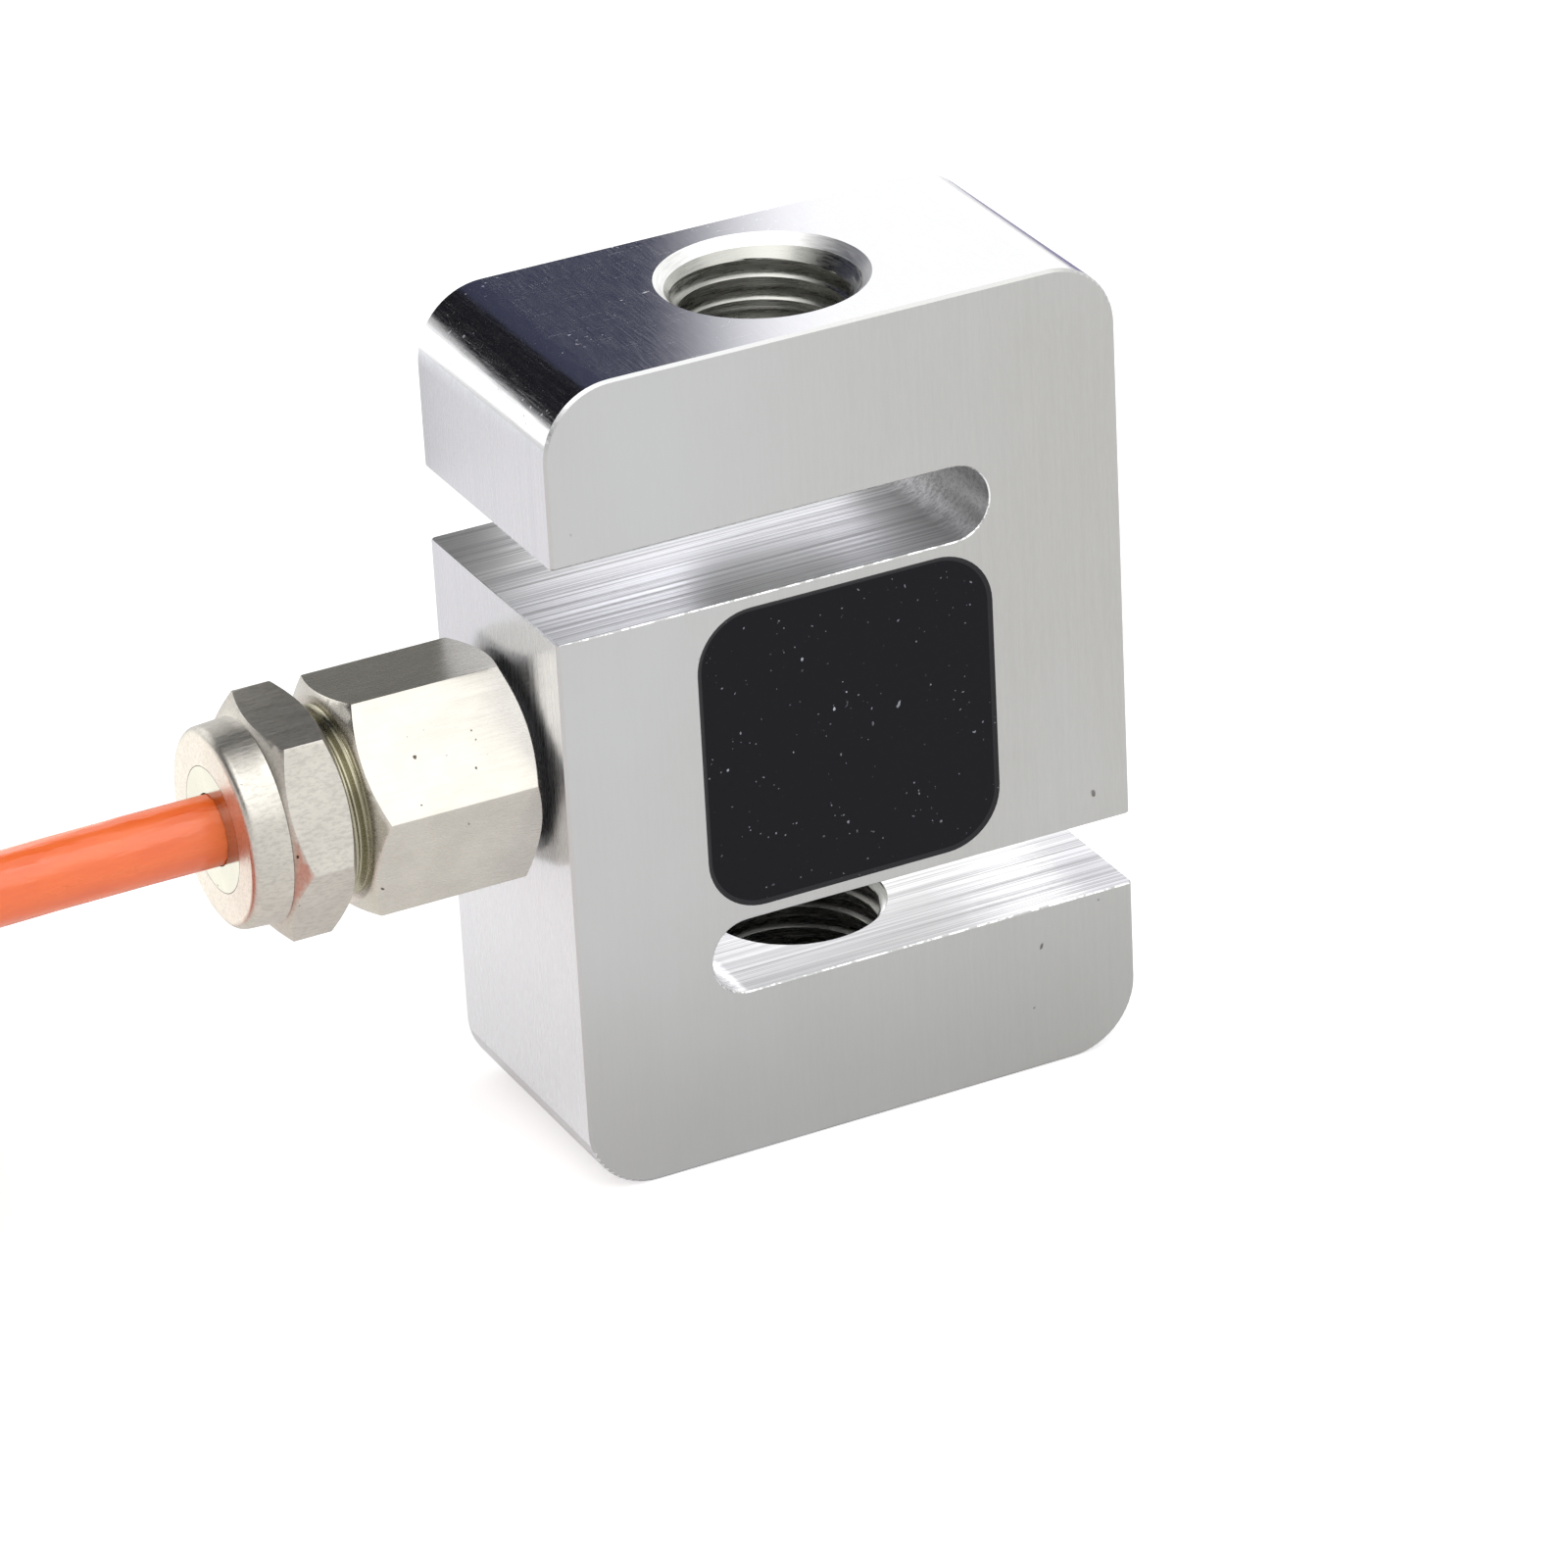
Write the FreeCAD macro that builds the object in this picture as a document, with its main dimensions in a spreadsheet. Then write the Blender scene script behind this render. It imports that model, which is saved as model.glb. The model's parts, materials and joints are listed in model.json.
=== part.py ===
"""S-type load cell: a one-piece steel S beam with gauge pockets, a brass cable gland and its cable.

Frame: +Z up along the load axis, +X along the beam's width, +Y through its depth, millimetres.
The origin is the centre of the beam's bottom face. The cable leaves towards -X.
"""
import FreeCAD, Part
import math
import os
import re

import Sketcher

# ---------------------------------------------------------------- driving sizes, in millimetres and degrees
SIZES = {
    # beam
    "beam_width": 51.0,
    "beam_depth": 24.0,
    "beam_height": 72.0,
    "beam_corner": 6.0,         # round of the four profile corners
    "beam_edge_break": 0.25,    # chamfer round the front and rear outlines
    "end_bar": 15.0,            # height of the loaded bars above and below the slots
    "slot_gap": 6.6,
    "slot_wall": 12.0,          # steel left between a slot's closed end and the side
    "thread_bore": 14.0,        # tapping drill of the M16 mounting threads
    "thread_mouth": 17.7,       # countersink at the outer faces
    "thread_relief": 15.4,      # small countersink at the slots
    "countersink_angle": 45.0,
    # gauge pockets and the way in for the wires
    "pocket_width": 26.8,
    "pocket_rim": 1.0,          # steel between a pocket and the slots
    "pocket_corner": 5.0,
    "web_thickness": 5.0,
    "potting_recess": 0.12,
    "port_thread": 12.0,        # gland entry thread
    "port_chamfer": 0.4,
    "port_depth": 9.0,
    "wire_bore": 10.6,
    "wire_breakthrough": 1.0,   # how far the wire bore runs into the pockets
    # gauges, boards and wires in the pockets
    "gauge_width": 7.0,
    "gauge_height": 6.0,
    "gauge_carrier": 0.3,
    "gauge_inner_x": 2.0,       # centre of the gauge nearer to the board, from the pocket's centre
    "gauge_outer_x": 7.5,
    "grid_height": 3.0,
    "grid_bar": 0.35,
    "grid_pitch": 0.7,
    "grid_foil": 0.12,
    "board_x": 9.0,
    "board_width": 4.0,
    "board_height": 18.0,
    "board_thickness": 0.8,
    "land_width": 2.4,
    "land_height": 1.6,
    "land_pitch": 3.2,
    "land_foil": 0.12,
    "resistor_width": 3.2,
    "resistor_height": 1.6,
    "resistor_thickness": 0.7,
    "resistor_y": 7.6,
    "wire_play": 0.05,          # gap between a wire and what it is soldered or taped to
    "lead_diameter": 0.4,
    "inner_lead_y": 2.0,
    "outer_lead_y": 4.6,
    "link_diameter": 0.6,
    "link_spread": 0.4,
    "link_reach": 0.8,          # how far the links loop back into the wire bore
    "core_diameter": 1.2,
    "core_seat": 0.7,           # how far each core lies from the cable's axis, in y and in z
    "core_run_in": 3.0,         # how far the inner cores run straight before they spread
    # gland
    "gasket_thickness": 0.6,
    "gasket_diameter": 14.8,
    "thread_play": 0.05,        # radial gap between mating parts of the gland
    "spigot_length": 8.0,
    "hex_flats": 18.0,
    "hex_face": 17.2,           # diameter of the flat ring that the hexagons' chamfers leave
    "hex_chamfer_angle": 30.0,
    "body_hex_length": 14.9,
    "body_hex_turn": 39.2,
    "body_bore": 8.0,
    "gland_thread": 15.8,       # outer thread that carries the dome nut
    "nut_gap": 1.5,             # thread left bare between the two hexagons
    "nut_hex_length": 5.4,
    "nut_hex_turn": 25.2,
    "nut_thread_depth": 5.5,
    "nut_thread_run_out": 0.2,
    "dome_base": 17.1,
    "dome_top": 16.7,
    "dome_length": 3.3,
    "dome_round": 0.8,
    "mouth_bore": 10.6,
    "seal_seat": 12.0,
    "seal_length": 7.0,
    "sleeve_flange": 1.5,
    # cable, its coil and its stripped end
    "cable_diameter": 6.0,
    "cable_play": 0.05,
    "jacket_entry": 1.5,        # how far the jacket reaches into the beam from its side
    "coil_x": -109.0,
    "coil_y": 27.0,
    "coil_radius": 30.0,        # to the middle of the turns
    "coil_columns": 3.0,
    "coil_rows": 5.0,
    "coil_tail": 20.0,
    "tie_thickness": 1.0,
    "tie_width": 5.0,
    "tie_play": 0.25,
    "tie_head": 4.0,
    "tip_diameter": 0.8,
    "tip_length": 5.0,
}

# The free cable's route from the jacket's end in the beam: y and z are counted from the gland's axis.
LEAD_ROUTE = [(-72.0, 0.0, 0.0), (-114.0, -1.5, -2.0)]
# The stripped cores, from the jacket's end: (along x, across y, above the floor).
CORE_RUNS = {
    "red": [(9.0, 2.2, 3.8), (20.0, 3.6, 0.6), (34.0, 5.2, 0.6)],
    "black": [(9.0, 0.4, 2.4), (19.0, -0.6, 0.6), (32.0, -1.8, 0.6)],
    "green": [(9.0, -2.2, 3.8), (19.0, -4.6, 0.6), (31.0, -7.0, 0.6)],
    "white": [(9.0, -2.8, 2.0), (17.0, -6.4, 0.6), (27.0, -11.6, 0.6)],
}
CORE_SEATS = {"red": (1, 1), "black": (1, -1), "green": (-1, 1), "white": (-1, -1)}
ARC_SHARE = 0.45                # share of the shorter run that a bend may use

doc = FreeCAD.newDocument("LoadCell")
sheet = doc.addObject("Spreadsheet::Sheet", "Sizes")
for row, (alias, number) in enumerate(SIZES.items(), start=1):
    sheet.set(f"A{row}", alias.replace("_", " "))
    sheet.set(f"B{row}", str(number))
    sheet.setAlias(f"B{row}", alias)
doc.recompute()

parts = {}                      # node name -> document object


# ---------------------------------------------------------------- expressions and document helpers
def linked(text):
    """The expression with each size's name turned into a reference to its cell."""
    return re.sub(r"[A-Za-z_]\w*", lambda word: f"Sizes.{word[0]}" if word[0] in SIZES else word[0], str(text))


def value(text):
    """What the expression comes to now."""
    return float(sheet.evalExpression(linked(text)))


def bind(thing, **expressions):
    """Ties properties of a feature to expressions; a double underscore stands for a dot."""
    for name, text in expressions.items():
        thing.setExpression(name.replace("__", "."), linked(text))


def keep(name, thing):
    """Names a finished piece; its name is the name of its node."""
    thing.Label = name
    parts[name] = thing
    return thing


def new_body(name):
    body = doc.addObject("PartDesign::Body", "Body_" + name)
    return keep(name, body)


def origin_plane(body, role):
    return next(feature for feature in body.Origin.OriginFeatures if feature.Role == role)


def new_sketch(body, name, plane, offset=("0", "0", "0")):
    """A sketch on one of the body's origin planes, moved by `offset` in the plane's own axes."""
    sketch = body.newObject("Sketcher::SketchObject", name)
    sketch.AttachmentSupport = (origin_plane(body, plane), [""])
    sketch.MapMode = "FlatFace"
    for axis, text in zip("xyz", offset):
        if text != "0":
            sketch.setExpression(f"AttachmentOffset.Base.{axis}", linked(text))
    return sketch


def place_point(sketch, geometry, end, corner):
    """Ties a point of the sketch to its origin by two expressions."""
    for kind, text in zip(("DistanceX", "DistanceY"), corner):
        index = sketch.addConstraint(Sketcher.Constraint(kind, -1, 1, geometry, end, value(text)))
        sketch.setExpression(f"Constraints[{index}]", linked(text))


def polygon(sketch, corners):
    """A closed outline with straight sides; each corner is a pair of expressions."""
    points = [FreeCAD.Vector(value(x), value(y), 0) for x, y in corners]
    first = sketch.GeometryCount
    for start, end in zip(points, points[1:] + points[:1]):
        sketch.addGeometry(Part.LineSegment(start, end), False)
    for step, corner in enumerate(corners):
        before = first + (step - 1) % len(corners)
        sketch.addConstraint(Sketcher.Constraint("Coincident", before, 2, first + step, 1))
        place_point(sketch, first + step, 1, corner)


def rectangle(sketch, width, height, centre=("0", "0")):
    left, right = (f"{centre[0]} {sign} ({width}) / 2" for sign in "-+")
    low, high = (f"{centre[1]} {sign} ({height}) / 2" for sign in "-+")
    polygon(sketch, [(left, low), (right, low), (right, high), (left, high)])


def circle(sketch, diameter, centre):
    x, y = (value(text) for text in centre)
    edge = Part.Circle(FreeCAD.Vector(x, y, 0), FreeCAD.Vector(0, 0, 1), value(diameter) / 2)
    index = sketch.addGeometry(edge, False)
    place_point(sketch, index, 3, centre)
    size = sketch.addConstraint(Sketcher.Constraint("Diameter", index, value(diameter)))
    sketch.setExpression(f"Constraints[{size}]", linked(diameter))


def open_slot(sketch, mouth, end_centre, middle, gap):
    """A slot open at x = mouth whose closed end is a full round about (end_centre, middle)."""
    low, high = f"({middle}) - ({gap}) / 2", f"({middle}) + ({gap}) / 2"
    opens_right = value(mouth) > value(end_centre)
    # the outline runs round the closed end anticlockwise, from `first` to `last`
    first, last = (high, low) if opens_right else (low, high)
    centre = FreeCAD.Vector(value(end_centre), value(middle), 0)
    start_angle = math.pi / 2 if opens_right else -math.pi / 2
    round_end = Part.Circle(centre, FreeCAD.Vector(0, 0, 1), value(gap) / 2)
    sketch.addGeometry(Part.ArcOfCircle(round_end, start_angle, start_angle + math.pi), False)
    corners = [(end_centre, last), (mouth, last), (mouth, first), (end_centre, first)]
    points = [FreeCAD.Vector(value(x), value(y), 0) for x, y in corners]
    for start, end in zip(points, points[1:]):
        sketch.addGeometry(Part.LineSegment(start, end), False)
    for line, corner in enumerate(corners[:-1], start=1):
        sketch.addConstraint(Sketcher.Constraint("Coincident", line - 1, 2, line, 1))
        place_point(sketch, line, 1, corner)
    sketch.addConstraint(Sketcher.Constraint("Coincident", 3, 2, 0, 1))
    place_point(sketch, 3, 2, corners[-1])
    index = sketch.addConstraint(Sketcher.Constraint("DistanceX", -1, 1, 0, 3, value(end_centre)))
    sketch.setExpression(f"Constraints[{index}]", linked(end_centre))


def pad(body, name, sketch, length, symmetric=False, backwards=False):
    feature = body.newObject("PartDesign::Pad", name)
    feature.Profile = sketch
    feature.SideType = "Symmetric" if symmetric else "One side"
    feature.Reversed = backwards
    bind(feature, Length=length)
    doc.recompute()
    return feature


def pocket(body, name, sketch, length, symmetric=False, backwards=False):
    before = body.Shape.Volume
    feature = body.newObject("PartDesign::Pocket", name)
    feature.Profile = sketch
    feature.SideType = "Symmetric" if symmetric else "One side"
    feature.Reversed = backwards
    bind(feature, Length=length)
    doc.recompute()
    check_cut(body, name, before)
    return feature


def check_cut(body, name, before):
    if not body.Shape.Volume < before:
        raise RuntimeError(f"{name} removes nothing from {body.Label}")


def turned(body, name, corners, cut=False, plane="XZ_Plane", axis="V_Axis", offset=("0", "0", "0")):
    """A ring or a bore made by turning a polygon about an axis of its sketch."""
    before = body.Shape.Volume if cut else 0.0
    sketch = new_sketch(body, name + "Profile", plane, offset)
    polygon(sketch, corners)
    feature = body.newObject("PartDesign::Groove" if cut else "PartDesign::Revolution", name)
    feature.Profile = sketch
    feature.ReferenceAxis = (sketch, [axis])
    feature.Angle = 360
    doc.recompute()
    if cut:
        check_cut(body, name, before)
    return feature


def dress(body, kind, name, wanted, **expressions):
    """A Fillet or Chamfer on the edges of the body's tip that `wanted` picks."""
    base = body.Tip
    edges = [f"Edge{i}" for i, edge in enumerate(base.Shape.Edges, start=1) if wanted(edge)]
    if not edges:
        raise RuntimeError(f"{name} finds no edge on {body.Label}")
    feature = body.newObject("PartDesign::" + kind, name)
    feature.Base = (base, edges)
    bind(feature, **expressions)
    doc.recompute()
    return feature


def is_along(edge, direction):
    if not isinstance(edge.Curve, (Part.Line, Part.LineSegment)):
        return False
    return abs(edge.tangentAt(edge.FirstParameter).dot(direction)) > 0.999


def has_radius(edge, radius):
    return isinstance(edge.Curve, Part.Circle) and abs(edge.Curve.Radius - radius) < 1e-4


AXIS_X, AXIS_Y, AXIS_Z = FreeCAD.Vector(1, 0, 0), FreeCAD.Vector(0, 1, 0), FreeCAD.Vector(0, 0, 1)
POCKET_HEIGHT = "(beam_height - 2 * (end_bar + slot_gap + pocket_rim))"


# ---------------------------------------------------------------- beam
def make_beam():
    beam = new_body("beam")
    block = new_sketch(beam, "Outline", "XZ_Plane")
    rectangle(block, "beam_width", "beam_height", ("0", "beam_height / 2"))
    pad(beam, "Block", block, "beam_depth", symmetric=True)
    dress(beam, "Fillet", "Corners", lambda edge: is_along(edge, AXIS_Y), Radius="beam_corner")

    # the two slots leave the S: the upper one opens to -X, the lower one to +X
    for name, side, middle in (
        ("UpperSlot", "-", "beam_height - end_bar - slot_gap / 2"),
        ("LowerSlot", "", "end_bar + slot_gap / 2"),
    ):
        other = "" if side else "-"
        sketch = new_sketch(beam, name + "Outline", "XZ_Plane")
        end_centre = f"{other}(beam_width / 2 - slot_wall - slot_gap / 2)"
        open_slot(sketch, f"{side}(beam_width / 2 + slot_gap)", end_centre, middle, "slot_gap")
        pocket(beam, name, sketch, "beam_depth + slot_gap", symmetric=True)

    # a gauge pocket in each face, with the web between them
    for name, side in (("FrontPocket", "-"), ("RearPocket", "")):
        sketch = new_sketch(beam, name + "Outline", "XZ_Plane", ("0", "0", f"{'' if side else '-'}beam_depth / 2"))
        rectangle(sketch, "pocket_width", POCKET_HEIGHT, ("0", "beam_height / 2"))
        pocket(beam, name, sketch, "(beam_depth - web_thickness) / 2", backwards=not side)
    half_width, half_height = value("pocket_width / 2"), value(POCKET_HEIGHT) / 2
    middle = value("beam_height") / 2

    def pocket_corner(edge):
        point = edge.CenterOfMass
        return (
            is_along(edge, AXIS_Y)
            and abs(abs(point.x) - half_width) < 1e-4
            and abs(abs(point.z - middle) - half_height) < 1e-4
        )

    dress(beam, "Fillet", "PocketCorners", pocket_corner, Radius="pocket_corner")

    # M16 holes through the end bars, countersunk at both ends
    slope = "tan(countersink_angle * 1deg)"
    mouth_depth = f"((thread_mouth - thread_bore) / 2 * {slope})"
    relief_depth = f"((thread_relief - thread_bore) / 2 * {slope})"
    for name, outer, inwards in (("TopThread", "beam_height", "-"), ("BottomThread", "0", "+")):
        inner = f"({outer} {inwards} end_bar)"
        outwards = "+" if inwards == "-" else "-"
        turned(beam, name, [
            ("0", outer),
            ("thread_mouth / 2", outer),
            ("thread_bore / 2", f"{outer} {inwards} {mouth_depth}"),
            ("thread_bore / 2", f"{inner} {outwards} {relief_depth}"),
            ("thread_relief / 2", inner),
            ("0", inner),
        ], cut=True)

    # the gland's port and the bore that leads the wires into both pockets
    side = "-beam_width / 2"
    breakthrough = "-pocket_width / 2 + wire_breakthrough"
    turned(beam, "GlandPort", [
        (side, "0"),
        (side, "port_thread / 2 + port_chamfer"),
        (f"{side} + port_chamfer", "port_thread / 2"),
        (f"{side} + port_depth", "port_thread / 2"),
        (f"{side} + port_depth", "wire_bore / 2"),
        (breakthrough, "wire_bore / 2"),
        (breakthrough, "0"),
    ], cut=True, axis="H_Axis", offset=("0", "beam_height / 2", "0"))

    # broken edges round the outline of both faces
    half_depth, beam_side = value("beam_depth") / 2, value("beam_width") / 2
    corner = value("beam_corner")

    def outline_edge(edge):
        point = edge.CenterOfMass
        if abs(abs(point.y) - half_depth) > 1e-4:
            return False
        on_side = abs(abs(point.x) - beam_side) < 1e-4
        on_end = min(abs(point.z), abs(point.z - value("beam_height"))) < 1e-4
        return on_side or on_end or has_radius(edge, corner)

    dress(beam, "Chamfer", "EdgeBreak", outline_edge, Size="beam_edge_break")


# ---------------------------------------------------------------- what lies in the gauge pockets
def on_web(body, face):
    """Sets a body on the web: its own +Z points out of the pocket, its own +Y up the beam."""
    if face == "front":
        turn, depth = FreeCAD.Rotation(AXIS_X, 90), "-web_thickness / 2"
    else:
        turn, depth = FreeCAD.Rotation(FreeCAD.Vector(0, 1, 1), 180), "web_thickness / 2"
    body.Placement = FreeCAD.Placement(FreeCAD.Vector(0, 0, 0), turn)
    bind(body, Placement__Base__y=depth, Placement__Base__z="beam_height / 2")
    doc.recompute()


def make_gauge(name, face, centre, slant):
    """A foil shear gauge: a carrier with a grid of bars at 45 degrees."""
    gauge = new_body(name)
    carrier = new_sketch(gauge, name + "_carrier", "XY_Plane")
    rectangle(carrier, "gauge_width", "gauge_height", (centre, "0"))
    pad(gauge, name + "_plate", carrier, "gauge_carrier")
    bar = new_sketch(gauge, name + "_bar", "XY_Plane", ("0", "0", "gauge_carrier"))
    # the first bar is the leftmost: the bars step to the right
    low_x = f"{centre} - (grid_height + 4 * grid_pitch + grid_bar) / 2"
    low, high = ("0", "grid_height") if slant > 0 else ("grid_height", "0")
    polygon(bar, [
        (f"{low_x} + {low}", "-grid_height / 2"),
        (f"{low_x} + {low} + grid_bar", "-grid_height / 2"),
        (f"{low_x} + {high} + grid_bar", "grid_height / 2"),
        (f"{low_x} + {high}", "grid_height / 2"),
    ])
    foil = pad(gauge, name + "_foil", bar, "grid_foil")
    row = gauge.newObject("PartDesign::LinearPattern", name + "_grid")
    row.Originals = [foil]
    row.Direction = (bar, ["H_Axis"])
    row.Occurrences = 5
    bind(row, Length="4 * grid_pitch")
    gauge.Tip = row
    on_web(gauge, face)
    return gauge


def make_board(name, face, centre):
    """A glass-fibre strip with four copper lands."""
    board = new_body(name)
    plate = new_sketch(board, name + "_outline", "XY_Plane")
    rectangle(plate, "board_width", "board_height", (centre, "0"))
    pad(board, name + "_plate", plate, "board_thickness")
    land = new_sketch(board, name + "_land", "XY_Plane", ("0", "0", "board_thickness"))
    rectangle(land, "land_width", "land_height", (centre, "-1.5 * land_pitch"))
    copper = pad(board, name + "_copper", land, "land_foil")
    row = board.newObject("PartDesign::LinearPattern", name + "_lands")
    row.Originals = [copper]
    row.Direction = (land, ["V_Axis"])
    row.Occurrences = 4
    bind(row, Length="3 * land_pitch")
    board.Tip = row
    on_web(board, face)
    return board


def make_resistor(name, face, centre):
    """A trim resistor that lies on the board beyond its lands."""
    chip = new_body(name)
    outline = new_sketch(chip, name + "_outline", "XY_Plane", ("0", "0", "board_thickness"))
    rectangle(outline, "resistor_width", "resistor_height", (centre, "resistor_y"))
    pad(chip, name + "_chip", outline, "resistor_thickness")
    on_web(chip, face)
    return chip


def make_gauge_leads(name, side):
    """Four enamelled wires from the board's edge to the two gauges of one face."""
    lift = side * value("web_thickness / 2 + wire_play + lead_diameter / 2")
    middle = value("beam_height / 2")
    board_edge = value("-board_x + board_width / 2 + wire_play")
    near_edge = value("-gauge_inner_x - gauge_width / 2 - wire_play")
    far_middle = value("gauge_outer_x")
    wires = []
    for up in (-1, 1):
        inner_z = middle + up * value("inner_lead_y")
        start, end = (FreeCAD.Vector(x, lift, inner_z) for x in (board_edge, near_edge))
        wires.append(round_bar([start, end], value("lead_diameter")))
        outer_z = middle + up * value("outer_lead_y")
        gauge_z = middle + up * value("gauge_height / 2 + wire_play")
        route = [(board_edge, outer_z), (far_middle, outer_z), (far_middle, gauge_z)]
        wires.append(round_bar([FreeCAD.Vector(x, lift, z) for x, z in route], value("lead_diameter")))
    return shape_feature(name, Part.makeCompound(wires))


def make_link_wires():
    """Two wires that loop from the front board through the wire bore to the rear board."""
    lift = value("web_thickness / 2 + board_thickness + wire_play + link_diameter / 2")
    board_x = value("-board_x")
    loop_x = value("-pocket_width / 2 - link_reach")
    wires = []
    for up in (-1, 1):
        z = value("beam_height / 2") + up * value("link_spread")
        route = [(board_x, -lift), (loop_x, -lift), (loop_x, lift), (board_x, lift)]
        wires.append(round_bar([FreeCAD.Vector(x, y, z) for x, y in route], value("link_diameter")))
    return shape_feature("link_wires", Part.makeCompound(wires))


def make_inner_core(colour):
    """One core from the end of the jacket, through the wire bore, to a land of its board."""
    side, up = CORE_SEATS[colour]
    side = -side                # red and black go to the front
    middle = value("beam_height / 2")
    seat = value("core_seat")
    lift = value("web_thickness / 2 + board_thickness + land_foil + wire_play + core_diameter / 2")
    jacket_x = value("-beam_width / 2 + jacket_entry")
    pocket_x = value("-pocket_width / 2 - wire_breakthrough / 2")
    land_z = middle + up * value("land_pitch / 2")
    start = FreeCAD.Vector(jacket_x, side * seat, middle + up * seat)
    route = [
        start,
        start + FreeCAD.Vector(value("core_run_in"), 0, 0),
        FreeCAD.Vector(pocket_x, side * lift, land_z),
        FreeCAD.Vector(value("-board_x"), side * lift, land_z),
    ]
    return shape_feature(f"inner_{colour}_core", round_bar(route, value("core_diameter")))


def make_potting(name, face, sunk):
    """The compound that fills a pocket round the pieces that are sunk in it."""
    block = doc.addObject("PartDesign::Body", "Block_" + name)
    outline = new_sketch(block, name + "_outline", "XY_Plane")
    rectangle(outline, "pocket_width", POCKET_HEIGHT)
    pad(block, name + "_fill", outline, "(beam_depth - web_thickness) / 2 - potting_recess")
    dress(block, "Fillet", name + "_corners", lambda edge: is_along(edge, AXIS_Z), Radius="pocket_corner")
    on_web(block, face)
    held = doc.addObject("Part::MultiFuse", name + "_sunk")
    held.Shapes = sunk
    potting = doc.addObject("Part::Cut", name + "_compound")
    potting.Base, potting.Tool = block, held
    doc.recompute()
    keep(name, potting)


def make_pocket_contents():
    cores = {colour: make_inner_core(colour) for colour in CORE_SEATS}
    links = make_link_wires()
    for face, side, toward, colours in (
        ("front", -1, "-", ("red", "black")),
        ("rear", 1, "", ("green", "white")),
    ):
        # `toward` points from the pocket's centre to the wire bore in the face's own frame
        away = "" if toward else "-"
        slant = 1 if toward else -1
        sunk = [
            make_gauge(f"{face}_inner_gauge", face, f"{toward}gauge_inner_x", slant),
            make_gauge(f"{face}_outer_gauge", face, f"{away}gauge_outer_x", -slant),
            make_board(f"{face}_terminal_board", face, f"{toward}board_x"),
            make_resistor(f"{face}_trim_resistor", face, f"{toward}board_x"),
            make_gauge_leads(f"{face}_gauge_leads", side),
            links,
            *(cores[colour] for colour in colours),
        ]
        make_potting(f"{face}_potting", face, sunk)


# ---------------------------------------------------------------- gland
HEX_RADIUS = "hex_flats / (2 * cos(30deg))"
BODY_TOP = "(gasket_thickness + body_hex_length)"
NUT_BASE = "(gasket_thickness + body_hex_length + nut_gap)"
NUT_HEX_TOP = "(gasket_thickness + body_hex_length + nut_gap + nut_hex_length)"
NUT_LIP = "(gasket_thickness + body_hex_length + nut_gap + nut_thread_depth)"
GLAND_END = "(gasket_thickness + body_hex_length + nut_gap + nut_hex_length + dome_length)"
SEAL_BASE = f"({NUT_LIP} - sleeve_flange - seal_length)"


def on_gland_axis(thing):
    """Sets a gland piece on the beam's left side: its own +Z points away from the beam."""
    turn = FreeCAD.Rotation(AXIS_Y, -90)
    thing.Placement = FreeCAD.Placement(FreeCAD.Vector(0, 0, 0), turn)
    bind(thing, Placement__Base__x="-beam_width / 2", Placement__Base__z="beam_height / 2")
    doc.recompute()


def hexagon(body, name, turn, base, length):
    """A hexagonal prism on the gland's axis, with both ends chamfered to a round face."""
    prism = body.newObject("PartDesign::AdditivePrism", name)
    prism.AttachmentSupport = (origin_plane(body, "XY_Plane"), [""])
    prism.MapMode = "FlatFace"
    prism.Polygon = 6
    prism.AttachmentOffset = FreeCAD.Placement(FreeCAD.Vector(0, 0, 0), FreeCAD.Rotation(AXIS_Z, value(turn)))
    bind(
        prism,
        Circumradius=HEX_RADIUS,
        Height=length,
        AttachmentOffset__Base__z=base,
        AttachmentOffset__Rotation__Angle=turn,
    )
    doc.recompute()
    beyond = f"({HEX_RADIUS} + 1)"
    drop = f"(({beyond} - hex_face / 2) * tan(hex_chamfer_angle * 1deg))"
    for end, level, inwards in (("Low", base, "+"), ("High", f"({base} + {length})", "-")):
        turned(body, f"{name}{end}Chamfer", [
            ("hex_face / 2", level),
            (beyond, level),
            (beyond, f"{level} {inwards} {drop}"),
        ], cut=True)


def make_gland_body():
    body = new_body("gland_body")
    hexagon(body, "BodyHexagon", "body_hex_turn", "gasket_thickness", "body_hex_length")
    spigot = "(port_thread / 2 - thread_play)"
    thread = "(gland_thread / 2)"
    turned(body, "Spigot", [
        ("0", "-spigot_length"),
        (f"{spigot} - port_chamfer", "-spigot_length"),
        (spigot, "-spigot_length + port_chamfer"),
        (spigot, "gasket_thickness"),
        ("0", "gasket_thickness"),
    ])
    thread_end = f"({NUT_LIP} - nut_thread_run_out)"
    turned(body, "OuterThread", [
        ("0", BODY_TOP),
        (thread, BODY_TOP),
        (thread, f"{thread_end} - port_chamfer"),
        (f"{thread} - port_chamfer", thread_end),
        ("0", thread_end),
    ])
    turned(body, "Bore", [
        ("0", "-spigot_length"),
        ("body_bore / 2", "-spigot_length"),
        ("body_bore / 2", SEAL_BASE),
        ("seal_seat / 2", SEAL_BASE),
        ("seal_seat / 2", thread_end),
        ("0", thread_end),
    ], cut=True)
    on_gland_axis(body)


def make_gland_gasket():
    gasket = new_body("gland_gasket")
    turned(gasket, "GasketRing", [
        ("port_thread / 2 + thread_play", "0"),
        ("gasket_diameter / 2", "0"),
        ("gasket_diameter / 2", "gasket_thickness"),
        ("port_thread / 2 + thread_play", "gasket_thickness"),
    ])
    on_gland_axis(gasket)


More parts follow.
